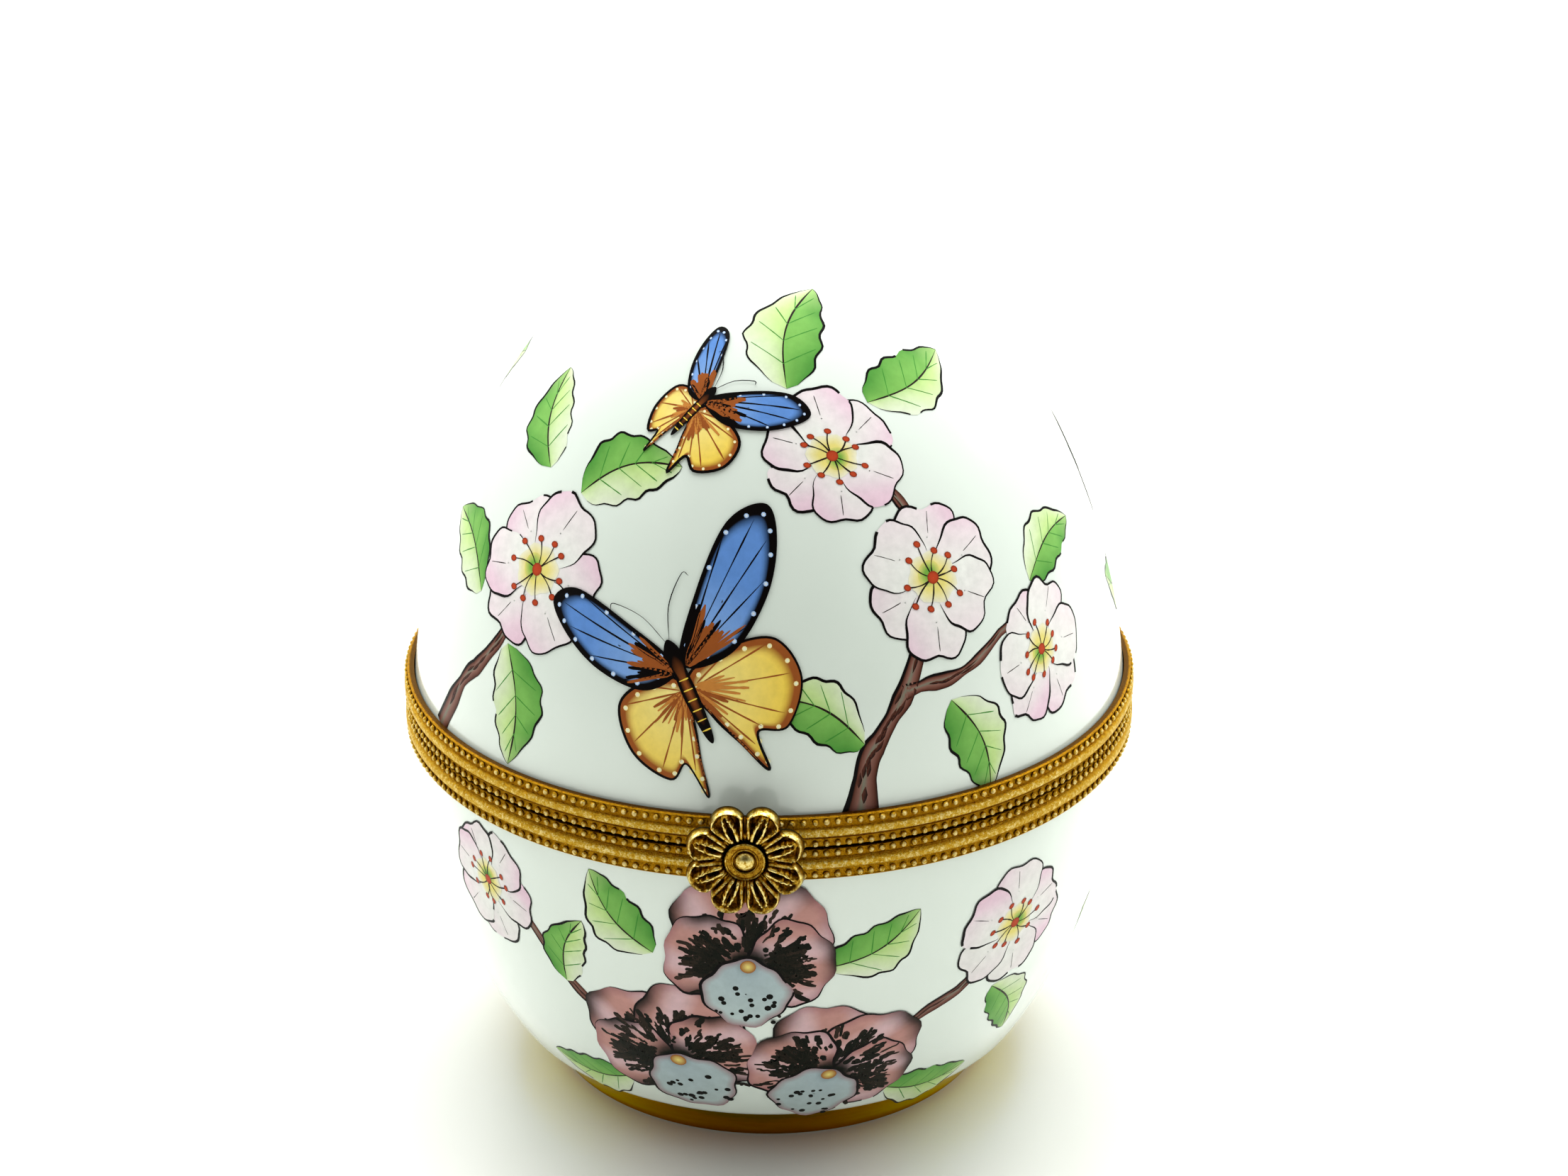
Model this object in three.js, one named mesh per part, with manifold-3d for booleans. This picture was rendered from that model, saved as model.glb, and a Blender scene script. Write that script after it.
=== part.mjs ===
// Hinged porcelain egg box on its own foot: a bowl and a dome lid in glazed porcelain, each edged
// with a beaded gilt-brass mount, joined by a five-knuckle stop hinge at the back and shut by a
// spring clasp with a flower at the front. Millimetres, +Z up. The egg's axis is Z, it stands on
// z = 0, the clasp faces -Y and the hinge lies at +Y along X.
import * as THREE from "three";
import { mergeVertices } from "three/addons/utils/BufferGeometryUtils.js";
import Module from "manifold-3d";

const wasm = await Module();
wasm.setup();

// Egg: heights, radii and walls of the porcelain
const seamHeight = 37.7;
const porcelainRadius = 34.1;
const lidRise = 46.9;
const lidSidePower = 0.953;
const lidCrownPower = 1.213;
const lidWall = 2.2;
const lidCrownWall = 2.4;
const bowlDepth = 50.9;
const bowlSidePower = 1.25;
const bowlEndPower = 0.856;
const bowlWall = 2.4;
const bowlFloorHeight = 6;
const bowlInsidePower = 0.35;

// Foot ring, gilded outside
const footRadius = 21.7;
const footEdgeRound = 0.3;
const footTopRadius = 25.2;
const footHeight = 4.5;
const footLedge = 0.5;
const footRingWidth = 3.2;
const footRecess = 2.5;

// Mounts: the section is measured from the middle of the seam
const mountProud = 0.9;
const mountHeight = 3.1;
const mountBoreGap = 0.15;
const mountLipGap = 0.12;
const mountLipRise = 0.13;
const seamGap = 0.24;
const flangeThickness = 0.5;
const flangeWidth = 2.8;
const beadRecess = 0.36;
const beadRise = 0.33;
const beadHeight = 0.68;
const ridgeStart = 1.22;
const ridgeEnd = 1.92;
const outerBeadStart = 2.26;
const beadsPerRow = 216;
const beadsPerFacet = 4;

// Cement bedding between the porcelain edge and the flange
const beddingThickness = 0.35;
const beddingGap = 0.1;

// Collar that stands up from the lower mount and guides the lid
const collarThickness = 0.5;
const collarGap = 0.2;
const collarRise = 1.2;
const collarDepth = 3;

// Clasp and hinge stand out from the mounts by the same amount
const standOut = 2.4;

// Hinge
const openAngle = 75;
const stopAllowance = 2;
const hingeSetback = 0.3;
const hingeLength = 15;
const knuckleCount = 5;
const knuckleRadius = 1.15;
const knuckleGap = 0.1;
const seatGap = 0.15;
const pinRadius = 0.45;
const pinGap = 0.12;
const pinEndReach = 0.25;
const seatHeight = 2.95;
const seatBevel = 0.4;

// Clasp: depths are measured outwards from the ridge of the mounts
const tongueWidth = 5;
const tongueTop = 2.85;
const tongueBottom = 2.9;
const tongueDepth = 0.4;
const tongueThickness = 0.45;
const tonguePadDepth = 0.15;
const tongueBeadDepth = 0.28;
const tongueBeadHeight = 0.7;
const pegRadius = 0.5;
const pegReach = 0.24;
const pegSeatGap = 0.04;
const flowerGap = 0.05;
const petalCount = 8;
const flowerRadius = 5.5;
const flowerNotchRadius = 4.2;
const flowerHubRadius = 2;
const flowerPlate = 0.45;
const flowerBore = 0.6;
const petalRibRise = 0.3;
const cupRadius = 1.8;
const cupRimRise = 0.35;
const cupFloor = 0.3;
const cupGap = 0.05;
const rivetHeadRadius = 0.92;
const rivetHeadRise = 0.62;
const rivetRadius = 0.42;

// Facets
const shellFacets = 48;
const mountFacets = beadsPerRow / beadsPerFacet;
const smallFacets = 16;
const innerFacets = 36;
const lidSteps = 9;
const bowlSteps = 8;

// Sizes that follow from the ones above
const mountRadius = porcelainRadius + mountProud;
const mountBore = porcelainRadius + mountBoreGap;
const beadFloor = mountRadius - beadRecess;
const flangeBore = mountBore - flangeWidth - mountBoreGap;
const flangeTop = seamGap / 2 + flangeThickness;
const porcelainEdge = flangeTop + beddingThickness + 2 * beddingGap;
const hingeY = mountRadius + hingeSetback;
const hingeReach = standOut - hingeSetback;
const troughRadius = knuckleRadius + seatGap;
const claspFront = -(mountRadius + standOut);
const flowerBack = -(mountRadius + tongueDepth + tongueThickness + flowerGap);
const flowerDepth = flowerBack - claspFront;

const porcelain = new THREE.MeshStandardMaterial({ color: 0xe9efe6, roughness: 0.12, metalness: 0 });
const giltBrass = new THREE.MeshStandardMaterial({ color: 0xb08a3c, roughness: 0.32, metalness: 1 });
const plainBrass = new THREE.MeshStandardMaterial({ color: 0xa98a4c, roughness: 0.4, metalness: 1 });
const cement = new THREE.MeshStandardMaterial({ color: 0xd8d2c2, roughness: 0.9, metalness: 0 });

const box = new THREE.Group();
const lid = new THREE.Group();
box.add(lid);

function addPiece(parent, name, geometry, material) {
  const mesh = new THREE.Mesh(geometry, material);
  mesh.name = name;
  parent.add(mesh);
  return mesh;
}

// A closed mesh as a solid for cutting: only position is kept and shared corners are merged.
function solidOf(geometry) {
  const bare = new THREE.BufferGeometry();
  bare.setAttribute("position", geometry.getAttribute("position"));
  if (geometry.index) bare.setIndex(geometry.index);
  const merged = mergeVertices(bare, 1e-4);
  const corners = merged.index.array;
  const kept = [];
  for (let i = 0; i < corners.length; i += 3) {
    const [a, b, c] = [corners[i], corners[i + 1], corners[i + 2]];
    if (a !== b && b !== c && c !== a) kept.push(a, b, c);
  }
  return new wasm.Manifold(
    new wasm.Mesh({
      numProp: 3,
      vertProperties: merged.attributes.position.array,
      triVerts: new Uint32Array(kept),
    }),
  );
}

function geometryOf(solid) {
  const mesh = solid.getMesh();
  const geometry = new THREE.BufferGeometry();
  geometry.setAttribute("position", new THREE.BufferAttribute(mesh.vertProperties, 3));
  geometry.setIndex(new THREE.BufferAttribute(mesh.triVerts, 1));
  return geometry;
}

// Revolves a closed profile, or one that starts and ends on the axis, about Z. Points are
// [radius, height] and run upwards on the outside.
function revolve(profile, facets) {
  const points = profile.map(([radius, height]) => new THREE.Vector2(radius, height));
  return new THREE.LatheGeometry(points, facets).rotateX(Math.PI / 2);
}

function ringOf(inner, outer, low, high, facets) {
  return revolve([[inner, low], [outer, low], [outer, high], [inner, high], [inner, low]], facets);
}

// Extrudes an outline drawn in the plane of Y and Z along X, centred on x = 0.
function extrudeAlongX(outline, length) {
  const shape = new THREE.Shape(outline.map(([y, z]) => new THREE.Vector2(y, z)));
  const geometry = new THREE.ExtrudeGeometry(shape, { depth: length, bevelEnabled: false });
  const turn = new THREE.Matrix4().makeBasis(
    new THREE.Vector3(0, 1, 0),
    new THREE.Vector3(0, 0, 1),
    new THREE.Vector3(1, 0, 0),
  );
  return geometry.translate(0, 0, -length / 2).applyMatrix4(turn);
}

function barAlongX(radius, length, facets) {
  return new THREE.CylinderGeometry(radius, radius, length, facets).rotateZ(Math.PI / 2);
}

// One quarter of an egg: at turn t from the seam (0) to the pole (a right angle).
function eggPoint(radius, reach, sidePower, endPower, t) {
  return [radius * Math.max(Math.cos(t), 0) ** sidePower, reach * Math.sin(t) ** endPower];
}

function turnAtReach(reach, endPower, distance) {
  return Math.asin((distance / reach) ** (1 / endPower));
}

function eggArc(radius, reach, sidePower, endPower, from, to, steps) {
  const start = turnAtReach(reach, endPower, from);
  const end = turnAtReach(reach, endPower, to);
  return Array.from({ length: steps + 1 }, (_, i) =>
    eggPoint(radius, reach, sidePower, endPower, start + ((end - start) * i) / steps),
  );
}

// Lid: the dome outside, and the hollow that follows it one wall inside.
function lidGeometry() {
  const outside = eggArc(
    porcelainRadius, lidRise, lidSidePower, lidCrownPower, porcelainEdge, lidRise, lidSteps,
  );
  const inside = eggArc(
    porcelainRadius - lidWall, lidRise - lidCrownWall, lidSidePower, lidCrownPower,
    porcelainEdge, lidRise - lidCrownWall, lidSteps,
  ).reverse();
  outside[lidSteps][0] = 0;
  inside[0][0] = 0;
  const raised = [...inside, ...outside].map(([radius, height]) => [radius, seamHeight + height]);
  return revolve(raised, shellFacets);
}

// Bowl: it narrows to a foot ring that is hollowed underneath, and its floor is nearly flat.
function bowlGeometry() {
  const outside = eggArc(
    porcelainRadius, bowlDepth, bowlSidePower, bowlEndPower,
    porcelainEdge, seamHeight - footHeight - footLedge, bowlSteps,
  ).map(([radius, depth]) => [radius, seamHeight - depth]);
  const inside = eggArc(
    porcelainRadius - bowlWall, seamHeight - bowlFloorHeight, bowlInsidePower, 1,
    porcelainEdge, seamHeight - bowlFloorHeight, bowlSteps,
  ).map(([radius, depth]) => [radius, seamHeight - depth]);
  inside[bowlSteps][0] = 0;
  const foot = [
    [0, footRecess],
    [footRadius - footRingWidth - footEdgeRound, footRecess],
    [footRadius - footRingWidth, footEdgeRound],
    [footRadius - footRingWidth + footEdgeRound, 0],
    [footRadius - footEdgeRound, 0],
    [footRadius, footEdgeRound],
    [(footRadius + footTopRadius) / 2 - footEdgeRound, footHeight / 2],
    [footTopRadius, footHeight],
  ];
  return revolve([...foot, ...outside.reverse(), ...inside], shellFacets);
}

// Outside radius of the porcelain at a distance from the seam.
function porcelainRadiusAt(distance, upper) {
  const reach = upper ? lidRise : bowlDepth;
  const sidePower = upper ? lidSidePower : bowlSidePower;
  const endPower = upper ? lidCrownPower : bowlEndPower;
  const turn = turnAtReach(reach, endPower, distance);
  return eggPoint(porcelainRadius, reach, sidePower, endPower, turn)[0];
}

// Section of a mount, from the inner edge of its seam face round the outside and back. Heights
// are from the seam. Rows of beads are marked: a bead stands as a point between its two edges.
function mountSection(upper) {
  const seamFace = seamGap / 2;
  const firstBead = { radius: beadFloor, height: seamFace, beaded: true };
  const firstEnd = { radius: beadFloor, height: seamFace + beadHeight, beaded: true };
  const lastBead = { radius: beadFloor, height: outerBeadStart, beaded: true };
  const lastEnd = { radius: beadFloor, height: outerBeadStart + beadHeight, beaded: true };
  return [
    { radius: flangeBore, height: seamFace },
    firstBead,
    { row: true, radius: beadFloor + beadRise, height: (firstBead.height + firstEnd.height) / 2 },
    firstEnd,
    { radius: mountRadius, height: ridgeStart },
    { radius: mountRadius, height: ridgeEnd },
    lastBead,
    { row: true, radius: beadFloor + beadRise, height: (lastBead.height + lastEnd.height) / 2 },
    lastEnd,
    { radius: beadFloor + mountLipRise, height: lastEnd.height + mountLipRise },
    { radius: beadFloor - mountLipRise, height: mountHeight },
    { radius: porcelainRadiusAt(mountHeight, upper) + mountLipGap, height: mountHeight },
    { radius: mountBore, height: lastEnd.height },
    { radius: mountBore, height: flangeTop },
    { radius: flangeBore, height: flangeTop },
  ];
}

// Builds the beaded ring from its section. Beaded edges have one corner per bead and the others
// one per facet, and a strip of triangles joins each edge to the next.
function beadedRing(section) {
  const positions = [];
  const triangles = [];
  const rings = section.map((edge) => {
    const count = edge.beaded || edge.row ? beadsPerRow : mountFacets;
    const phase = edge.row ? 0.5 : 0;
    const first = positions.length / 3;
    for (let i = 0; i < count; i++) {
      const angle = ((i + phase) * 2 * Math.PI) / count;
      positions.push(edge.radius * Math.cos(angle), edge.radius * Math.sin(angle), edge.height);
    }
    return { count, at: (i) => first + (i % count), row: edge.row };
  });
  rings.forEach((near, index) => {
    const far = rings[(index + 1) % rings.length];
    if (near.row) return;
    if (far.row) {
      const beyond = rings[(index + 2) % rings.length];
      for (let i = 0; i < beadsPerRow; i++) {
        const tip = far.at(i);
        triangles.push(near.at(i), near.at(i + 1), tip);
        triangles.push(near.at(i + 1), beyond.at(i + 1), tip);
        triangles.push(beyond.at(i + 1), beyond.at(i), tip);
        triangles.push(beyond.at(i), near.at(i), tip);
      }
      return;
    }
    let i = 0;
    let j = 0;
    while (i < near.count || j < far.count) {
      const nearFirst = (2 * i + 1) * far.count <= (2 * j + 1) * near.count;
      if (i < near.count && (nearFirst || j >= far.count)) {
        triangles.push(near.at(i), near.at(i + 1), far.at(j));
        i += 1;
      } else {
        triangles.push(near.at(i), far.at(j + 1), far.at(j));
        j += 1;
      }
    }
  });
  const geometry = new THREE.BufferGeometry();
  geometry.setAttribute("position", new THREE.Float32BufferAttribute(positions, 3));
  return geometry.setIndex(triangles);
}

// Room for the hinge barrel, cut from what lies beside it.
const trough = solidOf(
  barAlongX(troughRadius, hingeLength + 2 * knuckleGap, 2 * smallFacets)
    .translate(0, hingeY, seamHeight),
);

function mountGeometry(upper) {
  const section = mountSection(upper);
  const placed = section.map((edge) => ({
    ...edge,
    height: seamHeight + (upper ? edge.height : -edge.height),
  }));
  if (!upper) placed.reverse();
  return geometryOf(solidOf(beadedRing(placed)).subtract(trough));
}

function beddingGeometry(upper) {
  const side = upper ? 1 : -1;
  const near = flangeTop + beddingGap;
  const heights = [seamHeight + side * near, seamHeight + side * (near + beddingThickness)];
  const inner = porcelainRadius - Math.min(lidWall, bowlWall);
  const outer = porcelainRadius - beddingGap;
  return ringOf(inner, outer, Math.min(...heights), Math.max(...heights), innerFacets);
}

function collarGeometry() {
  const outer = flangeBore - collarGap;
  return ringOf(
    outer - collarThickness, outer, seamHeight - collarDepth, seamHeight + collarRise, innerFacets,
  );
}

// Hinge seat: soldered to the mount behind the barrel. Its rear face lies on a ray from the pin,
// so the two seats meet face to face when the lid is fully open.
function hingeSeatGeometry(upper) {
  const side = upper ? 1 : -1;
  const stopRay = THREE.MathUtils.degToRad((openAngle + stopAllowance) / 2);
  const sagitta = mountRadius - Math.sqrt(mountRadius ** 2 - (hingeLength / 2) ** 2);
  const front = hingeY - hingeSetback - sagitta;
  const rear = hingeY + hingeReach;
  const outline = [
    [hingeY, 0],
    [rear, hingeReach * Math.tan(stopRay)],
    [rear, seatHeight - seatBevel],
    [rear - seatBevel, seatHeight],
    [front, seatHeight],
    [front, seamGap],
  ].map(([y, z]) => [y, seamHeight + side * z]);
  const cylinder = new THREE.CylinderGeometry(
    mountRadius + seatGap, mountRadius + seatGap, 4 * seatHeight, mountFacets,
  ).rotateX(Math.PI / 2).translate(0, 0, seamHeight);
  const block = solidOf(extrudeAlongX(upper ? outline : outline.reverse(), hingeLength));
  return geometryOf(block.subtract(solidOf(cylinder)).subtract(trough));
}

function knuckleGeometry(index) {
  const pitch = hingeLength / knuckleCount;
  const length = pitch - knuckleGap;
  const middle = (index - (knuckleCount - 1) / 2) * pitch;
  const bore = pinRadius + pinGap;
  return ringOf(bore, knuckleRadius, -length / 2, length / 2, smallFacets)
    .rotateY(Math.PI / 2)
    .translate(middle, hingeY, seamHeight);
}

function pinGeometry() {
  const half = hingeLength / 2;
  const profile = [
    [0, -half - pinEndReach],
    [pinRadius * 0.7, -half - pinEndReach * 0.8],
    [pinRadius, -half],
    [pinRadius, half],
    [pinRadius * 0.7, half + pinEndReach * 0.8],
    [0, half + pinEndReach],
  ];
  return revolve(profile, smallFacets).rotateY(Math.PI / 2).translate(0, hingeY, seamHeight);
}

// Clasp tongue: a spring strip soldered by its upper pad to the lid's mount. The pressed bead
// across its tail snaps under the peg of the lower mount.
function tongueGeometry() {
  const back = -(mountRadius + tongueDepth);
  const face = back - tongueThickness;
  const pad = -(mountRadius + tonguePadDepth);
  const bead = -(mountRadius + tongueBeadDepth);
  const beadTop = -tongueBottom + tongueBeadHeight;
  const outline = [
    [face, tongueTop],
    [face, -tongueBottom],
    [back, -tongueBottom],
    [bead, (beadTop - tongueBottom) / 2],
    [back, beadTop],
    [back, ridgeStart],
    [pad, ridgeStart],
    [pad, ridgeEnd],
    [back, ridgeEnd + tongueDepth],
    [back, tongueTop],
  ].map(([y, z]) => [y, seamHeight + z]);
  const strip = solidOf(extrudeAlongX(outline, tongueWidth));
  const bore = new THREE.CylinderGeometry(flowerBore, flowerBore, 4 * tongueDepth, smallFacets)
    .translate(0, back, seamHeight);
  return geometryOf(strip.subtract(solidOf(bore)));
}

// Turns a piece of the clasp, made face up about Z, to face -Y at the seam.
function onClasp(geometry, back) {
  return geometry.rotateX(Math.PI / 2).translate(0, back, seamHeight);
}

// Flower: eight petals side by side, each with a rolled rim and two ribs down a hollow face.
function flowerGeometry() {
  const petalTurns = [-1, -0.8, -0.62, -0.34, 0, 0.34, 0.62, 0.8];
  const reaches = [0, 0.2, 0.5, 0.8, 0.93, 1];
  const columns = petalCount * petalTurns.length;
  const positions = [];
  const rows = [];
  const addRow = (pointAt) => {
    rows.push(positions.length / 3);
    for (let petal = 0; petal < petalCount; petal++) {
      petalTurns.forEach((across) => {
        const angle = (2 * Math.PI * (petal + across / 2)) / petalCount + Math.PI / petalCount;
        const [radius, height] = pointAt(across);
        positions.push(radius * Math.sin(angle), radius * Math.cos(angle), height);
      });
    }
  };
  const outline = (across) =>
    flowerNotchRadius + (flowerRadius - flowerNotchRadius) * Math.sqrt(1 - across * across);
  const faceHeight = (along, across) => {
    const side = Math.abs(across);
    const arch = Math.sin((Math.PI * (0.25 + along)) / 1.5);
    const rim = side > 0.7 && side < 0.9 ? 1 : 0;
    const rib = side > 0.25 && side < 0.45 && along < 0.9 ? 1 : 0;
    const lip = along > 0.9 && along < 1 ? 1 : 0;
    const relief = Math.max(rim, lip, rib * (petalRibRise / flowerDepth) * 3);
    const valley = side === 1 ? 0 : 0.35;
    return flowerPlate + (flowerDepth - flowerPlate) * arch * Math.max(relief, valley);
  };
  addRow(() => [flowerBore, 0]);
  addRow(() => [flowerBore, flowerPlate]);
  reaches.forEach((along) =>
    addRow((across) => {
      const radius = flowerHubRadius + (outline(across) - flowerHubRadius) * along;
      return [radius, along === 0 ? flowerPlate : faceHeight(along, across)];
    }),
  );
  addRow((across) => [outline(across) - petalRibRise / 2, 0]);
  const triangles = [];
  rows.forEach((near, index) => {
    const far = rows[(index + 1) % rows.length];
    for (let i = 0; i < columns; i++) {
      const next = (i + 1) % columns;
      triangles.push(near + i, near + next, far + i);
      triangles.push(near + next, far + next, far + i);
    }
  });
  const geometry = new THREE.BufferGeometry();
  geometry.setAttribute("position", new THREE.Float32BufferAttribute(positions, 3));
  return geometry.setIndex(triangles);
}

// Cup washer in the flower's centre, and the rivet whose domed head sits in it.
function cupGeometry() {
  const base = flowerPlate + cupGap;
  const profile = [
    [flowerBore, base],
    [cupRadius, base],
    [cupRadius, base + cupFloor + cupRimRise],
    [cupRadius - cupFloor / 2, base + cupFloor + cupRimRise],
    [rivetHeadRadius + cupFloor / 2, base + cupFloor + cupRimRise / 2],
    [rivetHeadRadius + cupFloor / 2, base + cupFloor],
    [flowerBore, base + cupFloor],
    [flowerBore, base],
  ];
  return revolve(profile, smallFacets);
}

function rivetGeometry() {
  const underHead = flowerPlate + cupFloor + 2 * cupGap;
  const tail = -(flowerGap + tongueThickness);
  const dome = Array.from({ length: 4 }, (_, i) => {
    const t = (i * Math.PI) / 6;
    return [rivetHeadRadius * Math.cos(t), underHead + rivetHeadRise * Math.sin(t)];
  });
  dome[3][0] = 0;
  return revolve([[0, tail], [rivetRadius, tail], [rivetRadius, underHead], ...dome], smallFacets);
}

// Peg on the lower mount that the tongue's bead snaps past.
function pegGeometry() {
  const middle = -(ridgeStart + ridgeEnd) / 2;
  const profile = [
    [0, pegSeatGap],
    [pegRadius, pegSeatGap],
    [pegRadius * 0.8, (pegSeatGap + pegReach) / 2],
    [0, pegReach],
  ];
  return revolve(profile, smallFacets)
    .rotateX(Math.PI / 2)
    .translate(0, -mountRadius, seamHeight + middle);
}

addPiece(box, "bowl_shell", bowlGeometry(), porcelain);
addPiece(box, "lower_mount", mountGeometry(false), giltBrass);
addPiece(box, "lower_bedding", beddingGeometry(false), cement);
addPiece(box, "closing_collar", collarGeometry(), giltBrass);
addPiece(box, "catch_peg", pegGeometry(), giltBrass);
addPiece(box, "hinge_seat_lower", hingeSeatGeometry(false), giltBrass);
addPiece(box, "hinge_pin", pinGeometry(), plainBrass);

addPiece(lid, "lid_shell", lidGeometry(), porcelain);
addPiece(lid, "upper_mount", mountGeometry(true), giltBrass);
addPiece(lid, "upper_bedding", beddingGeometry(true), cement);
addPiece(lid, "hinge_seat_upper", hingeSeatGeometry(true), giltBrass);
addPiece(lid, "clasp_tongue", tongueGeometry(), giltBrass);
addPiece(lid, "clasp_flower", onClasp(flowerGeometry(), flowerBack), giltBrass);
addPiece(lid, "clasp_cup", onClasp(cupGeometry(), flowerBack), giltBrass);
addPiece(lid, "clasp_rivet", onClasp(rivetGeometry(), flowerBack), giltBrass);

// Knuckles alternate along the pin, and the first and last belong to the bowl.
for (let index = 0; index < knuckleCount; index++) {
  const owner = index % 2 === 0 ? box : lid;
  addPiece(owner, `hinge_knuckle_${index + 1}`, knuckleGeometry(index), giltBrass);
}

export default box;
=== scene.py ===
from math import cos, pi, radians, sin, tan

import bmesh
import bpy
import numpy as np
from mathutils import Matrix, Vector


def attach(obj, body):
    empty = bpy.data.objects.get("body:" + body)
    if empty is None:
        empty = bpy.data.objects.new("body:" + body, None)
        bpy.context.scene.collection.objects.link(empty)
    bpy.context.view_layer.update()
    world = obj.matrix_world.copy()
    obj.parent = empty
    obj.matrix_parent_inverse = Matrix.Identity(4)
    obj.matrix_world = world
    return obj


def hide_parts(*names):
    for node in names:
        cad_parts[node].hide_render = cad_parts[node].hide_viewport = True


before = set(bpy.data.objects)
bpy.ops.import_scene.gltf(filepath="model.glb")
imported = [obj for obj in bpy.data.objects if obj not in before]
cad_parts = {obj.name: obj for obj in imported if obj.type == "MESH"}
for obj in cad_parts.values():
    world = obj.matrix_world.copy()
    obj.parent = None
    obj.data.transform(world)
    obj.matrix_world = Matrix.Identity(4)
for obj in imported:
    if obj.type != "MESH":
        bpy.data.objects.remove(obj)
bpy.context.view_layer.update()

# Camera: it stands in front of the clasp, a little to its right and above the lid, and looks down
# at the egg. The clasp therefore sits left of the middle of the picture.
MM = 0.001
seam_height = 37.7
camera_distance = 350
camera_rise = radians(25.52)
camera_turn = radians(3.35)
camera_pitch = radians(24.063)
camera_yaw = radians(0.259)
camera_lens = 83.145
scene = bpy.context.scene


def add_object(name, data):
    """A new object in the scene."""
    piece = bpy.data.objects.new(name, data)
    scene.collection.objects.link(piece)
    return piece


camera_data = bpy.data.cameras.new("picture_camera")
camera_data.sensor_fit = "HORIZONTAL"
camera_data.sensor_width = 36
camera_data.lens = camera_lens
camera_data.clip_start = 0.01
camera_data.clip_end = 20
camera = add_object("picture_camera", camera_data)
stand_point = Vector((0, -camera_distance * cos(camera_rise), camera_distance * sin(camera_rise)))
looking = Vector((
    sin(camera_yaw) * cos(camera_pitch),
    cos(camera_yaw) * cos(camera_pitch),
    -sin(camera_pitch),
))
round_the_egg = Matrix.Rotation(camera_turn, 3, "Z")
camera.location = (round_the_egg @ stand_point + Vector((0, 0, seam_height))) * MM
camera.rotation_euler = (round_the_egg @ looking).to_track_quat("-Z", "Y").to_euler()
scene.camera = camera
scene.view_settings.view_transform = "Standard"

# Table and light: a white table inside a white light tent. The tent is brightest overhead and
# behind, dimmer low in front, and open in front of the lens, which shows as a faint dark shape.
table_half = 3.0
table_colour = (0.76, 0.77, 0.74, 1)
table_gloss = 1.0
table_roughness = 0.3
tent_white = (1.0, 1.0, 0.97)
tent_dim = (0.15, 0.15, 0.13)
tent_strength = 0.86
bright_way = (0, 0.76, 0.65)
dimmest_reach = -0.95
brightest_reach = 0.4
opening_rise = radians(33)
opening_half_width = 0.52
opening_half_height = 0.57
opening_edge = (0.85, 1.1)
opening_light = 0.32


def feed(tree, node, inputs):
    """Gives each named input of a node a value, or links it to another node's output."""
    for socket, given in inputs.items():
        if isinstance(given, bpy.types.NodeSocket):
            tree.links.new(given, node.inputs[socket])
        else:
            node.inputs[socket].default_value = given


def new_node(tree, kind, inputs=None, **settings):
    """Adds a node with its settings and inputs, and returns its outputs."""
    node = tree.nodes.new(kind)
    for setting, value in settings.items():
        setattr(node, setting, value)
    feed(tree, node, inputs or {})
    return node.outputs


def ranged(tree, value, span, onto=(0, 1), **settings):
    """A value moved from one range onto another."""
    limits = {"Value": value, "From Min": span[0], "From Max": span[1],
              "To Min": onto[0], "To Max": onto[1]}
    return new_node(tree, "ShaderNodeMapRange", limits, **settings)["Result"]


def vector_maths(tree, operation, inputs):
    """The outputs of a sum on vectors."""
    return new_node(tree, "ShaderNodeVectorMath", inputs, operation=operation)


def bare_material(name):
    """A new material with its node tree and shader."""
    material = bpy.data.materials.new(name)
    material.use_nodes = True
    return material, material.node_tree, material.node_tree.nodes["Principled BSDF"]


table_mesh = bpy.data.meshes.new("table")
table_mesh.from_pydata(
    [(x * table_half, y * table_half, 0) for x, y in ((-1, -1), (1, -1), (1, 1), (-1, 1))],
    [], [(0, 1, 2, 3)],
)
table = add_object("table", table_mesh)
table_white, tree, shader = bare_material("table_white")
feed(tree, shader, {
    "Base Color": table_colour, "Specular IOR Level": table_gloss, "Roughness": table_roughness,
})
table_mesh.materials.append(table_white)

tent = bpy.data.worlds.new("light_tent")
tent.use_nodes = True
tent_tree = tent.node_tree
direction = new_node(tent_tree, "ShaderNodeTexCoord")["Generated"]


def tent_reach(way):
    """How far a direction of the tent points along a given way."""
    return vector_maths(tent_tree, "DOT_PRODUCT", {0: direction, 1: way})["Value"]


# The inputs of a range of vectors go by number: vector, from min, from max, to min, to max.
cloth = new_node(tent_tree, "ShaderNodeMapRange", {
    6: tent_reach(bright_way), 7: [dimmest_reach] * 3, 8: [brightest_reach] * 3,
    9: tent_dim, 10: tent_white,
}, data_type="FLOAT_VECTOR", interpolation_type="SMOOTHSTEP")["Vector"]
opening = new_node(tent_tree, "ShaderNodeCombineXYZ", {
    "X": tent_reach((1 / opening_half_width, 0, 0)),
    "Y": tent_reach((0, sin(opening_rise) / opening_half_height,
                     cos(opening_rise) / opening_half_height)),
})["Vector"]
from_opening = vector_maths(tent_tree, "LENGTH", {0: opening})["Value"]
curtain = ranged(tent_tree, from_opening, opening_edge, (opening_light, 1),
                 interpolation_type="SMOOTHSTEP")
feed(tent_tree, tent_tree.nodes["Background"], {
    "Color": vector_maths(tent_tree, "SCALE", {"Vector": cloth, "Scale": curtain})["Vector"],
    "Strength": tent_strength,
})
scene.world = tent


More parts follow.
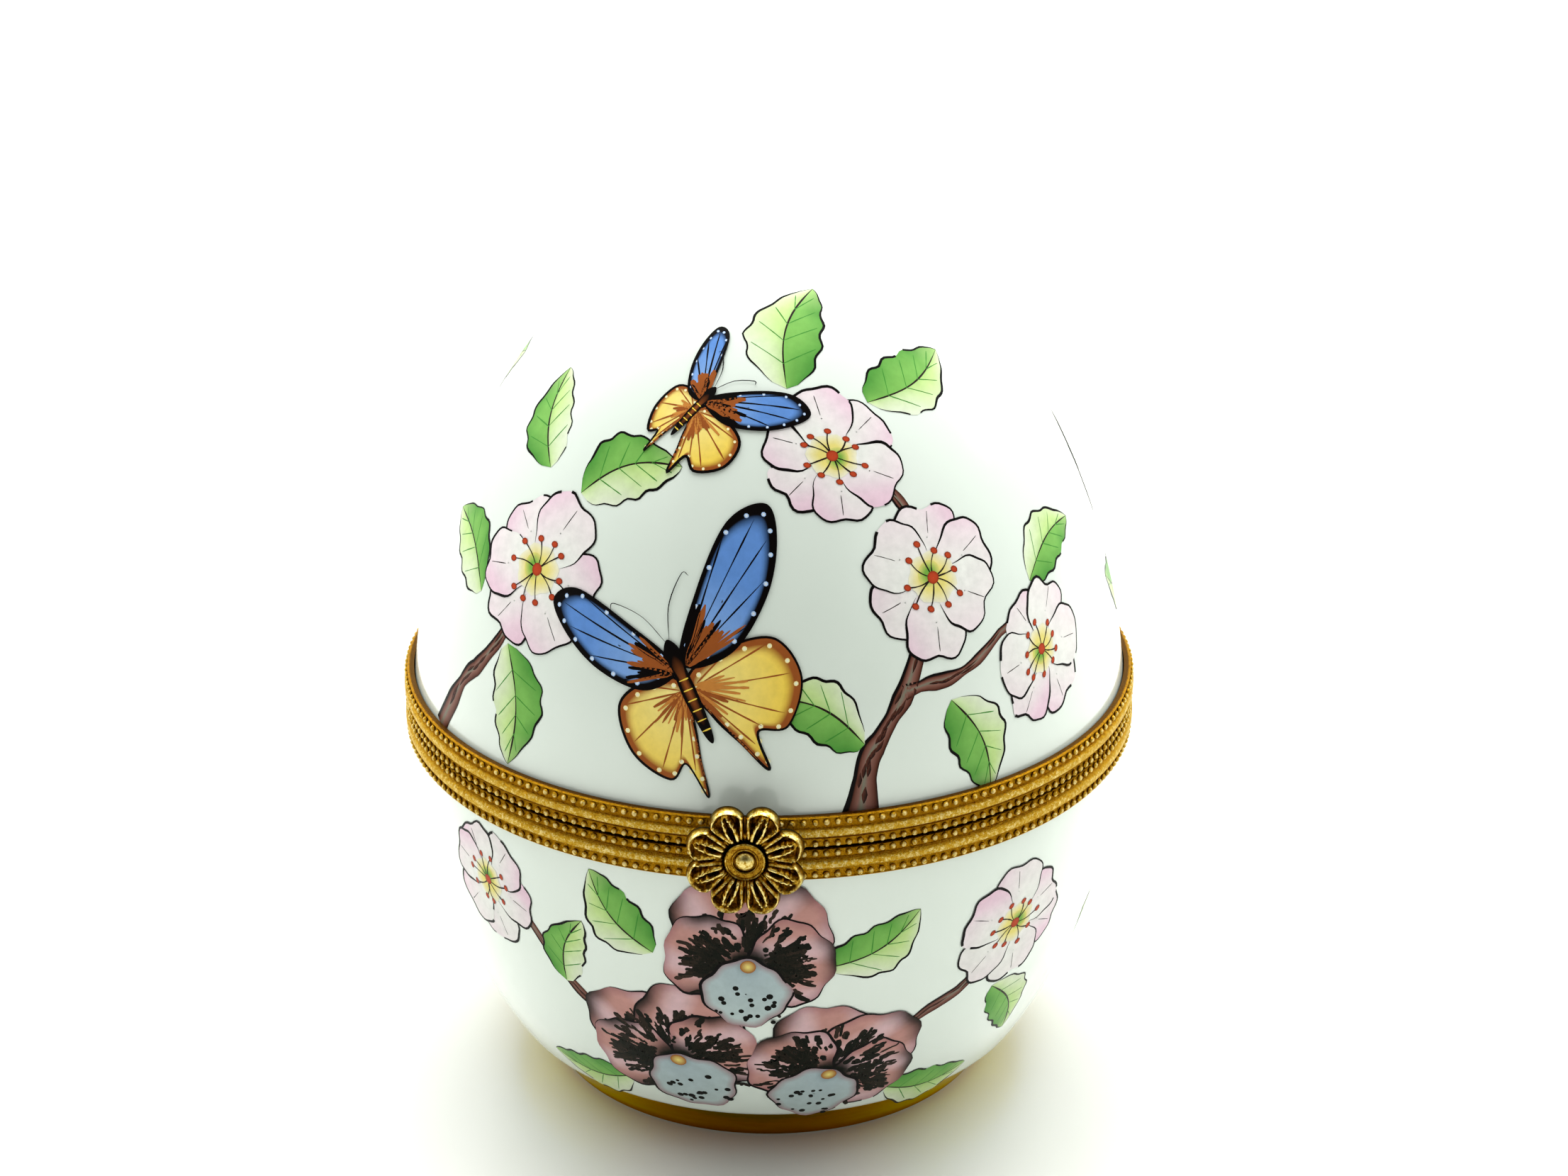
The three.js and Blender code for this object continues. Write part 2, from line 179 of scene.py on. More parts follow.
def tent_panel(name, size, place, aim, watts):
    """A square soft light of the tent, in metres, that faces the point it aims at."""
    data = bpy.data.lights.new(name, "AREA")
    data.shape = "SQUARE"
    data.size = size
    data.energy = watts
    data.color = tent_white
    light = add_object(name, data)
    light.location = place
    light.rotation_euler = (Vector(aim) - Vector(place)).to_track_quat("-Z", "Y").to_euler()


tent_panel("panel_above", size=0.8, place=(0, 0.31, 0.87), aim=(0, 0, 0), watts=10.5)
for name, side in (("panel_left", -1), ("panel_right", 1)):
    tent_panel(name, size=0.6, place=(side * 0.55, 0.36, 0.58), aim=(0, 0, 0.02), watts=3.4)

# Porcelain: the bowl and the dome lid are slip-cast hard porcelain with a clear glaze inside and
# out. The bowl narrows to a foot ring that is hollowed underneath.
porcelain_radius = 34.1
lid_shape = dict(reach=46.9, side_power=0.953, end_power=1.213)
lid_wall = 2.2
lid_crown_wall = 2.4
bowl_shape = dict(reach=50.9, side_power=1.25, end_power=0.856)
bowl_wall = 2.4
bowl_floor_height = 6
bowl_inside_power = 0.35
porcelain_edge = 1.17
foot_radius = 21.7
foot_top_radius = 25.2
foot_height = 4.5
foot_ledge = 0.5
foot_ring_width = 3.2
foot_recess = 2.5
foot_round = 0.3
shell_turns = 192
shell_steps = 72
glaze_colour = (0.8, 0.885, 0.82)
glaze_shade = (0.77, 0.86, 0.79)


def egg_point(radius, turn, reach, side_power, end_power):
    """Radius and distance from the seam on a quarter egg, from the seam to the pole."""
    return radius * max(cos(turn), 0) ** side_power, reach * sin(turn) ** end_power


def egg_arc(radius, near, far, reach, side_power, end_power):
    """Points of a quarter egg between two distances from the seam."""
    start, end = (np.arcsin((limit / reach) ** (1 / end_power)) for limit in (near, far))
    return [
        egg_point(radius, start + (end - start) * step / shell_steps, reach, side_power, end_power)
        for step in range(shell_steps + 1)
    ]


def closed_skin(rings, turns, place):
    """A mesh through rings of points in mm, the last joined to the first. One point is a pole."""
    corners = []
    numbers = []
    for ring in rings:
        numbers.append([len(corners) + step % len(ring) for step in range(turns)])
        corners += [(x * MM, y * MM, z * MM) for x, y, z in ring]
    faces = []
    for near, far in zip(numbers, numbers[1:] + numbers[:1]):
        for step in range(turns):
            after = (step + 1) % turns
            face = list(dict.fromkeys([near[step], near[after], far[after], far[step]]))
            if len(face) > 2:
                faces.append(face)
    mesh = bpy.data.meshes.new("skin")
    mesh.from_pydata(corners, [], faces)
    mesh.transform(place)
    return mesh


def turned_mesh(section, turns, place=Matrix.Identity(4)):
    """A closed section of (radius, height) in mm, up on the outside, turned about Z."""
    on_axis = 1e-4
    angles = [2 * pi * step / turns for step in range(turns)]
    rings = [
        [(radius * cos(angle), radius * sin(angle), height) for angle in angles if radius > on_axis]
        or [(0, 0, height)]
        for radius, height in section
    ]
    return closed_skin(rings, turns, place)


def place_piece(name, mesh, material, body, replaced=(), crease=35):
    """Puts a finished mesh in the scene, on its body, in place of the nodes it stands for."""
    mesh.name = name
    mesh.materials.clear()
    mesh.materials.append(material)
    mesh.shade_smooth()
    mesh.set_sharp_from_angle(angle=radians(crease))
    piece = add_object(name, mesh)
    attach(piece, body)
    if replaced:
        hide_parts(*replaced)


def noise_of(tree, scale, detail=2.0, roughness=0.5, stretch=(1, 1, 1)):
    """Noise on the object's own coordinates, in metres."""
    place = new_node(tree, "ShaderNodeTexCoord")["Object"]
    spot = new_node(tree, "ShaderNodeMapping", {"Vector": place, "Scale": stretch})["Vector"]
    return new_node(tree, "ShaderNodeTexNoise", {
        "Vector": spot, "Scale": scale, "Detail": detail, "Roughness": roughness,
    })["Fac"]


def ramp_of(tree, value, stops):
    """A colour ramp through (position, colour) stops."""
    ramp = tree.nodes.new("ShaderNodeValToRGB")
    marks = ramp.color_ramp.elements
    marks.remove(marks[1])
    marks[0].position = stops[0][0]
    marks[0].color = (*stops[0][1], 1)
    for position, colour in stops[1:]:
        marks.new(position).color = (*colour, 1)
    tree.links.new(value, ramp.inputs["Fac"])
    return ramp.outputs["Color"]


def bump_of(tree, shader, height, depth, strength=1.0):
    """Relief of a depth in mm."""
    bump = {"Height": height, "Distance": depth * MM, "Strength": strength}
    feed(tree, shader, {"Normal": new_node(tree, "ShaderNodeBump", bump)["Normal"]})


glazed_porcelain, tree, shader = bare_material("glazed_porcelain")
clouds = noise_of(tree, scale=45, detail=3)
feed(tree, shader, {
    "Base Color": ramp_of(tree, clouds, [(0.3, glaze_shade), (0.7, glaze_colour)]),
    "Roughness": 0.16,
    "IOR": 1.5,
    "Coat Weight": 0.6,
    "Coat Roughness": 0.02,
})
bump_of(tree, shader, noise_of(tree, scale=90, detail=1), depth=0.05, strength=0.25)

lid_outside = egg_arc(porcelain_radius, porcelain_edge, lid_shape["reach"], **lid_shape)
lid_depth_inside = lid_shape["reach"] - lid_crown_wall
lid_inside = egg_arc(
    porcelain_radius - lid_wall, porcelain_edge, lid_depth_inside,
    **dict(lid_shape, reach=lid_depth_inside),
)
lid_section = [(radius, seam_height + height) for radius, height in lid_inside[::-1] + lid_outside]
place_piece(
    "lid_porcelain", turned_mesh(lid_section, shell_turns),
    glazed_porcelain, "lid", ["lid_shell"],
)

bowl_outside = egg_arc(
    porcelain_radius, porcelain_edge, seam_height - foot_height - foot_ledge, **bowl_shape,
)
bowl_depth_inside = seam_height - bowl_floor_height
bowl_inside = egg_arc(
    porcelain_radius - bowl_wall, porcelain_edge, bowl_depth_inside,
    bowl_depth_inside, bowl_inside_power, 1,
)
foot_inner = foot_radius - foot_ring_width
foot_section = [
    (0, foot_recess),
    (foot_inner - 2 * foot_round, foot_recess),
    (foot_inner - foot_round, foot_recess - foot_round),
    (foot_inner, foot_round),
    (foot_inner + foot_round, 0),
    (foot_radius - foot_round, 0),
    (foot_radius - foot_round / 4, foot_round / 3),
    (foot_radius, foot_round),
    ((foot_radius + foot_top_radius) / 2 - foot_round, foot_height / 2),
    (foot_top_radius, foot_height),
]
bowl_section = foot_section + [
    (radius, seam_height - depth) for radius, depth in bowl_outside[::-1] + bowl_inside
]
place_piece(
    "bowl_porcelain", turned_mesh(bowl_section, shell_turns),
    glazed_porcelain, "base", ["bowl_shell"],
)

# Foot gilding: liquid bright gold brushed over the glaze of the sloping foot and fired. It is a
# skin with no thickness to speak of. It is painted brown in front and along the edge on which the
# box stands: painted shade where the band reflects the dark front and the shadowed table.
gilding_skin = 0.03
front_shade_span = (-24.6 * MM, -15.5 * MM)
edge_shade_span = (0.3 * MM, 1.3 * MM)
gold_in_edge_shade = 0.3
streak_depth = 0.3
gilding_tones = [
    (0.0, (0.1, 0.035, 0.001)),
    (0.15, (0.4, 0.13, 0.001)),
    (0.42, (0.56, 0.31, 0.002)),
    (0.65, (0.68, 0.52, 0.006)),
    (1.0, (0.68, 0.59, 0.05)),
]
gilding_edge = (1, 0.87, 0.08, 1)


def maths(tree, operation, *values):
    """The result of a sum on values or outputs."""
    return new_node(tree, "ShaderNodeMath", dict(enumerate(values)), operation=operation)["Value"]


bright_gold, tree, shader = bare_material("bright_gold")
brushed = noise_of(tree, scale=300, detail=4, roughness=0.6, stretch=(1, 1, 5))
place = new_node(tree, "ShaderNodeSeparateXYZ", {
    "Vector": new_node(tree, "ShaderNodeTexCoord")["Object"],
})
# Painted shade: the gold turns brown towards the front and towards the edge on the table.
front_shade = maths(tree, "SUBTRACT", ranged(tree, place["Y"], front_shade_span), streak_depth / 2)
streaks_and_front_shade = maths(tree, "MULTIPLY_ADD", brushed, streak_depth, front_shade)
gold_and_painted_shade = maths(
    tree, "MULTIPLY", streaks_and_front_shade, ranged(tree, place["Z"], edge_shade_span, (gold_in_edge_shade, 1)),
)
feed(tree, shader, {
    "Base Color": ramp_of(tree, gold_and_painted_shade, gilding_tones),
    "Metallic": 1,
    "Specular Tint": gilding_edge,
    "Roughness": 0.14,
})
bump_of(tree, shader, brushed, depth=0.01, strength=0.3)

band = foot_section[5:]
gilding_section = [(radius + gilding_skin, height + gilding_skin / 2) for radius, height in band]
gilding_section += [(radius - gilding_skin, height) for radius, height in band[::-1]]
place_piece(
    "foot_gilding", turned_mesh(gilding_section, shell_turns), bright_gold, "base",
)

# Mounts: two stamped strips of gilt brass bent into rings and cemented over the porcelain edges.
# Each has a flange in the seam, a row of beads, a stippled ridge, a second row and a bright lip.
mount_radius = 35.0
mount_bore = 34.25
mount_height = 3.1
seam_face = 0.12
flange_bore = 31.3
flange_top = 0.62
bore_shoulder = 2.7
lip_gap = 0.12
bead_floor = 34.62
bead_rows = (0.48, 2.6)
bead_radius = 0.3
bead_rise = 0.07
beads_per_row = 216
ridge = (1.22, 1.92)
mount_turns = 288
trough_radius = 1.3
trough_half_length = 7.6
hinge_y = 35.3
# On the mounts the near-black first tone falls on the faces in the seam and in the deepest hollows:
# painted shade. The amber and pale tones are lacquer and rubbed metal.
strip_tones = [
    (0.0, (0.07, 0.022, 0.002)),
    (0.2, (0.4, 0.178, 0.003)),
    (0.65, (0.5, 0.305, 0.022)),
    (1.0, (0.78, 0.63, 0.27)),
]
lacquer_edge = (1, 0.91, 0.62, 1)
strip_reach = (34.42, 35.2)
# Limits on the beads that darken each bead's foot: painted shade of the crevice round it.
bead_shade_reach = (34.7, 34.92)
rubbed_patches = (0.38, 0.62)
patch_strength = (0.35, 1.4)


def gilt_brass_material(name, grain_depth, tones, polish, stands=None, reach=None, bead_foot_shade=None):
    """Gilt brass: amber lacquer and painted shade in the hollows, pale metal where it stands out and
    is rubbed.

    tones run from the hollows to the rubbed metal, and polish is the roughness of each. stands is
    the direction in which it stands out, measured in mm over reach, or None. On the beads a second
    pair of limits takes the place of reach and darkens each bead's foot: painted shade of its
    crevice.
    """
    material, tree, shader = bare_material(name)
    patches = noise_of(tree, scale=2800, detail=5, roughness=0.85)
    if stands:
        place = new_node(tree, "ShaderNodeTexCoord")["Object"]
        flat = vector_maths(tree, "MULTIPLY", {0: place, 1: stands})["Vector"]
        limits = [limit * MM for limit in reach]
        # Painted shade: on the beads the limits move so that each bead's foot turns dark.
        if bead_foot_shade:
            bead = new_node(tree, "ShaderNodeAttribute", attribute_name="bead")["Fac"]
            limits = [ranged(tree, bead, (0, 1), (plain, beaded * MM))
                      for plain, beaded in zip(limits, bead_foot_shade)]
        rise = ranged(tree, vector_maths(tree, "LENGTH", {0: flat})["Value"], limits)
        rubbed = ranged(tree, patches, rubbed_patches, patch_strength, clamp=False)
        wear_and_shade = maths(tree, "MULTIPLY", rise, rubbed)
    else:
        wear_and_shade = ranged(tree, patches, rubbed_patches)
    feed(tree, shader, {
        "Base Color": ramp_of(tree, wear_and_shade, tones),
        "Metallic": 1,
        "Specular Tint": lacquer_edge,
        "Roughness": ranged(tree, wear_and_shade, (0, 1), polish),
    })
    bump_of(tree, shader, noise_of(tree, scale=6400, detail=2, roughness=0.7), grain_depth)
    return material


mount_gilt = gilt_brass_material(
    "mount_gilt", grain_depth=0.14, tones=strip_tones, polish=(0.26, 0.44),
    stands=(1, 1, 0), reach=strip_reach, bead_foot_shade=bead_shade_reach,
)
gilt_brass = gilt_brass_material(
    "gilt_brass", grain_depth=0.012, tones=strip_tones, polish=(0.24, 0.4),
)


def place_brass(name, mesh, body, node, material=gilt_brass, crease=35):
    """Puts a finished gilt-brass mesh in the scene in place of its node."""
    place_piece(name, mesh, material, body, [node], crease)


def mount_section(shape):
    """Section of a mount as (radius, distance from the seam), starting at the seam face.

    The bead rows and the ridge are drawn as steps out from the level on which each lies.
    """
    turn = np.arcsin((mount_height / shape["reach"]) ** (1 / shape["end_power"]))
    lip_radius = egg_point(porcelain_radius, turn, **shape)[0] + lip_gap
    inner_row = [(-0.16, seam_face), (-0.02, seam_face + 0.06), (0, seam_face + 0.1), (0, 0.92),
                 (0.1, 0.95), (0.13, 0.98), (0.1, 1.01), (0.02, 1.03)]
    ridge_top = [(-0.12, ridge[0]), (-0.04, ridge[0] + 0.06), (0, ridge[0] + 0.16),
                 (0, ridge[1] - 0.16), (-0.04, ridge[1] - 0.06), (-0.12, ridge[1])]
    outer_row = [(0, ridge[1] + 0.1), (0, 2.92), (0.06, 2.94), (0.08, 2.98), (0.06, 3.03),
                 (0, 3.07), (-0.14, mount_height)]
    section = [(flange_bore, seam_face)]
    for level, steps in ((bead_floor, inner_row), (mount_radius, ridge_top), (bead_floor, outer_row)):
        section += [(level + out, height) for out, height in steps]
    return section + [(lip_radius, mount_height), (mount_bore, bore_shoulder),
                      (mount_bore, flange_top), (flange_bore, flange_top)]


def bead_rows_tree():
    """Geometry nodes: rows of domed beads round a ring, left out along the hinge barrel."""
    tree = bpy.data.node_groups.new("bead_rows", "GeometryNodeTree")
    kinds = {
        "Mount": "Geometry", "Beads per row": "Int", "Row radius": "Float",
        "Inner row height": "Float", "Outer row height": "Float", "Bead radius": "Float",
        "Hinge half length": "Float", "Gilt": "Material",
    }
    for label, kind in kinds.items():
        tree.interface.new_socket(label, in_out="INPUT", socket_type="NodeSocket" + kind)
    tree.interface.new_socket("Mount", in_out="OUTPUT", socket_type="NodeSocketGeometry")
    given = tree.nodes.new("NodeGroupInput").outputs
    joined = tree.nodes.new("GeometryNodeJoinGeometry")
    for label in ("Inner row height", "Outer row height"):
        ring = new_node(tree, "GeometryNodeMeshCircle", {
            "Vertices": given["Beads per row"], "Radius": given["Row radius"],
        })["Mesh"]
        height = new_node(tree, "ShaderNodeCombineXYZ", {"Z": given[label]})["Vector"]
        row = new_node(tree, "GeometryNodeTransform", {
            "Geometry": ring, "Translation": height,
        })["Geometry"]
        if label == "Inner row height":
            place = new_node(tree, "GeometryNodeInputPosition")["Position"]
            split = new_node(tree, "ShaderNodeSeparateXYZ", {"Vector": place})
            aside = maths(tree, "ABSOLUTE", split["X"])
            on_barrel = maths(tree, "LESS_THAN", aside, given["Hinge half length"])
            at_back = maths(tree, "GREATER_THAN", split["Y"], 0)
            row = new_node(tree, "GeometryNodeDeleteGeometry", {
                "Geometry": row, "Selection": maths(tree, "MULTIPLY", on_barrel, at_back),
            })["Geometry"]
        bead = new_node(tree, "GeometryNodeMeshUVSphere", {
            "Segments": 10, "Rings": 7, "Radius": given["Bead radius"],
        })["Mesh"]
        marked = new_node(tree, "GeometryNodeStoreNamedAttribute", {
            "Geometry": bead, "Name": "bead", "Value": 1,
        }, data_type="FLOAT", domain="POINT")["Geometry"]
        copies = new_node(tree, "GeometryNodeInstanceOnPoints", {"Points": row, "Instance": marked})
        tree.links.new(copies["Instances"], joined.inputs["Geometry"])
    tree.links.new(given["Mount"], joined.inputs["Geometry"])
    whole = new_node(tree, "GeometryNodeRealizeInstances", {
        "Geometry": joined.outputs["Geometry"],
    })["Geometry"]
    dressed = new_node(tree, "GeometryNodeSetMaterial", {
        "Geometry": whole, "Material": given["Gilt"],
    })["Geometry"]
    new_node(tree, "NodeGroupOutput", {"Mount": dressed})
    return tree


def applied(piece):
    """The mesh of a piece with its modifiers applied; the working object is removed."""
    bpy.context.view_layer.update()
    evaluated = piece.evaluated_get(bpy.context.evaluated_depsgraph_get())
    mesh = bpy.data.meshes.new_from_object(evaluated)
    piece.modifiers.clear()
    bpy.data.objects.remove(piece)
    return mesh


along_x = Matrix.Rotation(radians(90), 4, "Y")
pin_line = Matrix.Translation(Vector((0, hinge_y, seam_height)) * MM)
bead_tree = bead_rows_tree()
trough_mesh = turned_mesh(
    [(0, -trough_half_length), (trough_radius, -trough_half_length),
     (trough_radius, trough_half_length), (0, trough_half_length)],
    turns=48, place=pin_line @ along_x,
)
for side, shape, body, node in ((1, lid_shape, "lid", "upper_mount"),
                                (-1, bowl_shape, "base", "lower_mount")):
    section = [(radius, seam_height + side * height) for radius, height in mount_section(shape)]
    carrier = add_object("strip", turned_mesh(section[::side], mount_turns))
    trough = add_object("trough", trough_mesh)
    cut = carrier.modifiers.new("hinge_trough", "BOOLEAN")
    cut.operation = "DIFFERENCE"
    cut.solver = "EXACT"
    cut.object = trough
    beads = carrier.modifiers.new("beads", "NODES")
    beads.node_group = bead_tree
    sizes = {
        "Beads per row": beads_per_row,
        "Row radius": (bead_floor + bead_rise) * MM,
        "Inner row height": (seam_height + side * bead_rows[0]) * MM,
        "Outer row height": (seam_height + side * bead_rows[1]) * MM,
        "Bead radius": bead_radius * MM,
        "Hinge half length": (trough_half_length + bead_radius) * MM,
        "Gilt": mount_gilt,
    }
    for item in bead_tree.interface.items_tree:
        if item.name in sizes:
            beads[item.identifier] = sizes[item.name]
    mesh = applied(carrier)
    bpy.data.objects.remove(trough)
    place_brass(node + "_beaded", mesh, body, node, mount_gilt)

# Collar and bedding: a thin brass collar soldered inside the lower mount guides the lid home, and
# white cement holds each mount on its porcelain edge.
collar_outer = 31.1
collar_thickness = 0.5
collar_low = -3
collar_high = 1.2
collar_round = 0.12
cement_pale = (0.72, 0.69, 0.6)
cement_grey = (0.5, 0.47, 0.4)

collar_inner = collar_outer - collar_thickness
collar_top = seam_height + collar_high
collar_section = [
    (collar_inner, seam_height + collar_low),
    (collar_outer, seam_height + collar_low),
    (collar_outer, collar_top - 2 * collar_round),
    (collar_outer - collar_round, collar_top - collar_round / 2),
    (collar_outer - collar_thickness / 2, collar_top),
    (collar_inner + collar_round, collar_top - collar_round / 2),
    (collar_inner, collar_top - 2 * collar_round),
]
place_brass("closing_ring", turned_mesh(collar_section, shell_turns), "base", "closing_collar")

white_cement, tree, shader = bare_material("white_cement")
grit = noise_of(tree, scale=900, detail=5, roughness=0.7)
feed(tree, shader, {
    "Base Color": ramp_of(tree, grit, [(0.35, cement_grey), (0.6, cement_pale)]),
    "Roughness": 0.85,
})
bump_of(tree, shader, grit, depth=0.05)
for node in ("lower_bedding", "upper_bedding"):
    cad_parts[node].material_slots[0].material = white_cement

# Clasp: a spring tongue of gilt brass soldered to the lid's mount. A cast flower with eight spoon
# petals hides it, held by a cup washer and a domed rivet in the middle. The tongue snaps past a
# small peg on the bowl's mount.
tongue_thickness = 0.45
flower_back = -35.9
lobe_middle = 3.9
lobe_radius = 1.6
flower_hub = 1.75
flower_bore = 0.6
flower_plate = 0.45
flower_depth = 1.5
petal_count = 8
columns_per_petal = 30
rows_per_petal = 30
roll_width = 0.26
roll_inset = 0.34
rib_width = 0.17
rib_start = 0.14
rib_spread = 0.25
vein_width = 0.07
vein_rise = 0.3
hub_rise = 0.05
cup_radius = 1.8
cup_rim = 0.16
cup_floor = 0.3
cup_height = 0.65
cup_well_gap = 0.12
rivet_head = 0.92
rivet_rise = 0.62
rivet_shank = 0.42
rivet_steps = 12
clasp_gap = 0.05

# The near-black first tone falls where the flower lies lowest: round the cup, in the notches between
# petals, at its back edge and at the cup's foot. It is painted shade of these gaps; above it is
# lacquer.
clasp_tones = [
    (0.0, (0.006, 0.002, 0.001)),
    (0.22, (0.17, 0.065, 0.003)),
    (0.64, (0.45, 0.27, 0.022)),
    (1.0, (0.78, 0.64, 0.24)),
]
clasp_gilt = gilt_brass_material(
    "clasp_gilt", grain_depth=0.01, tones=clasp_tones, polish=(0.32, 0.24),
    stands=(0, 1, 0), reach=(36.46, 37.02),
)
cup_gilt = gilt_brass_material(
    "cup_gilt", grain_depth=0.006, tones=clasp_tones, polish=(0.3, 0.2),
    stands=(0, 1, 0), reach=(36.6, 37.2),
)


def bell(value, middle, width):
    """A smooth ridge across a value."""
    return np.exp(-((value - middle) / width) ** 2)


def step_between(value, low, high):
    """A smooth rise from 0 to 1."""
    part = np.clip((value - low) / (high - low), 0, 1)
    return part * part * (3 - 2 * part)


def petal_height(along, across, radius, reach):
    """Height of a petal's face: a rolled rim round a hollow with two ribs, low at the hub.

    along runs from 0 at the hub to 1 at the tip, and across from -1 to 1 between two notches.
    """
    half_width = radius * tan(pi / petal_count)
    side = np.abs(across) * half_width
    to_edge = np.minimum(reach - radius, half_width - side)
    climb = step_between(along, 0, 0.8)
    roll = bell(to_edge, roll_inset, roll_width) * (0.4 + 0.6 * climb)
    bow = rib_start + rib_spread * np.sin(pi * np.clip(along / 0.84, 0, 1)) ** 0.8
    rib = step_between(rib_width - np.abs(side - bow), -0.07, 0.07) * step_between(along, 0, 0.12)
    rib = rib * (1 - step_between(along, 0.74, 0.9)) * (0.8 + 0.2 * climb)
    vein = vein_rise * bell(side, half_width, vein_width)
    vein = vein * (1 - step_between(along, 0.35, 0.6))
    ground = hub_rise + 0.13 * climb
    relief = ground + (1 - ground) * np.maximum(np.maximum(roll, rib), vein)
    relief = relief * step_between(along, 0, 0.12)
    fall = step_between(to_edge, -0.02, 0.15)
    fall = 1 - (1 - fall) * step_between(along, 0.25, 0.5)
    return flower_plate + (flower_depth - flower_plate) * relief * (0.08 + 0.92 * fall)


def flower_mesh(place):
    """The cast flower: its bore, its face in polar rows, and a plain back."""
    columns = petal_count * columns_per_petal
    angles = 2 * pi * (np.arange(columns) + 0.5) / columns
    across = 2 * ((angles * petal_count / (2 * pi)) % 1) - 1
    off_axis = across * pi / petal_count
    reach = lobe_middle * np.cos(off_axis) + np.sqrt(
        lobe_radius ** 2 - (lobe_middle * np.sin(off_axis)) ** 2
    )
    rows = [(np.full(columns, flower_bore), np.zeros(columns)),
            (np.full(columns, flower_bore), np.full(columns, flower_plate))]
    for row in range(rows_per_petal + 1):
        along = np.full(columns, (row / rows_per_petal) ** 0.85)
        radius = flower_hub + (reach - flower_hub) * along
        rows.append((radius, petal_height(along, across, radius, reach)))
    rows.append((reach - 0.1, np.full(columns, 0.3)))
    rows.append((reach - 0.35, np.zeros(columns)))
    rings = [list(zip(radius * np.sin(angles), radius * np.cos(angles), height))
             for radius, height in rows]
    return closed_skin(rings, columns, place)


def facing_front(back, height):
    """Stands a piece turned about Z up in front, with its face forward and its back at back."""
    place = Matrix.Translation(Vector((0, back, height)) * MM)
    return place @ Matrix.Rotation(radians(90), 4, "X")


on_tongue = facing_front(flower_back, seam_height)
place_brass("flower_clasp", flower_mesh(on_tongue), "lid", "clasp_flower", clasp_gilt, crease=60)

cup_base = flower_plate + clasp_gap
cup_top = cup_base + cup_height
well = rivet_head + cup_well_gap
cup_section = [
    (flower_bore, cup_base),
    (cup_radius - 0.08, cup_base),
    (cup_radius, cup_base + 0.1),
    (cup_radius, cup_top - 0.08),
    (cup_radius - cup_rim / 2, cup_top),
    (cup_radius - cup_rim, cup_top - 0.05),
    (cup_radius - cup_rim - 0.05, cup_top - 0.18),
    (well + 0.2, cup_top - 0.22),
    (well + 0.15, cup_top - 0.12),
    (well + 0.09, cup_top - 0.07),
    (well + 0.03, cup_top - 0.12),
    (well, cup_base + cup_floor),
    (flower_bore, cup_base + cup_floor),
]
cup = turned_mesh(cup_section, turns=96, place=on_tongue)
place_brass("clasp_cup_washer", cup, "lid", "clasp_cup", cup_gilt)

under_head = flower_plate + cup_floor + 2 * clasp_gap
rivet_tail = -(clasp_gap + tongue_thickness)
rivet_section = [(0, rivet_tail), (rivet_shank, rivet_tail), (rivet_shank, under_head)]
rivet_section += [
    (rivet_head * cos(pi / 2 * step / rivet_steps),
     under_head + rivet_rise * sin(pi / 2 * step / rivet_steps))
    for step in range(rivet_steps)
]
rivet_section.append((0, under_head + rivet_rise))
rivet = turned_mesh(rivet_section, turns=64, place=on_tongue)
place_brass("clasp_domed_rivet", rivet, "lid", "clasp_rivet", clasp_gilt)


def softened_copy(node, width):
    """A copy of a node's mesh with its corners merged and its edges rounded by a bevel."""
    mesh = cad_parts[node].data.copy()
    shape = bmesh.new()
    shape.from_mesh(mesh)
    bmesh.ops.remove_doubles(shape, verts=shape.verts, dist=1e-6)
    bmesh.ops.dissolve_limit(shape, angle_limit=radians(3), verts=shape.verts, edges=shape.edges)
    shape.to_mesh(mesh)
    shape.free()
    carrier = add_object("blank", mesh)
    bevel = carrier.modifiers.new("rounded_edges", "BEVEL")
    bevel.width = width * MM
    bevel.segments = 3
    bevel.limit_method = "ANGLE"
    bevel.angle_limit = radians(30)
    bevel.harden_normals = False
    return applied(carrier)


place_brass("clasp_spring_tongue", softened_copy("clasp_tongue", 0.06), "lid", "clasp_tongue")

peg_middle = 1.57
peg_radius = 0.5
peg_section = [(0, 0.04), (peg_radius, 0.04), (0.48, 0.1), (0.4, 0.16), (0.26, 0.21), (0, 0.24)]
at_peg = facing_front(-mount_radius, seam_height - peg_middle)
peg = turned_mesh(peg_section, turns=48, place=at_peg)
place_brass("clasp_peg", peg, "base", "catch_peg")

# Hinge: two milled seats soldered to the mounts carry five knuckles on a drawn brass pin. The
# knuckles alternate between bowl and lid, and the seats meet as a stop at full opening.
hinge_length = 15
knuckle_count = 5
knuckle_radius = 1.15
knuckle_gap = 0.1
knuckle_bore = 0.57
knuckle_round = 0.12
pin_radius = 0.45
pin_reach = 0.25

pitch = hinge_length / knuckle_count
half = (pitch - knuckle_gap) / 2
knuckle_end = [
    (knuckle_bore, 0),
    (knuckle_radius - knuckle_round, 0),
    (knuckle_radius - knuckle_round / 3, knuckle_round / 3),
    (knuckle_radius, knuckle_round),
]
for index in range(knuckle_count):
    middle = (index - (knuckle_count - 1) / 2) * pitch
    section = [(radius, middle - half + inset) for radius, inset in knuckle_end]
    section += [(radius, middle + half - inset) for radius, inset in knuckle_end[::-1]]
    node = f"hinge_knuckle_{index + 1}"
    knuckle = turned_mesh(section, turns=64, place=pin_line @ along_x)
    place_brass(node + "_barrel", knuckle, "base" if index % 2 == 0 else "lid", node)

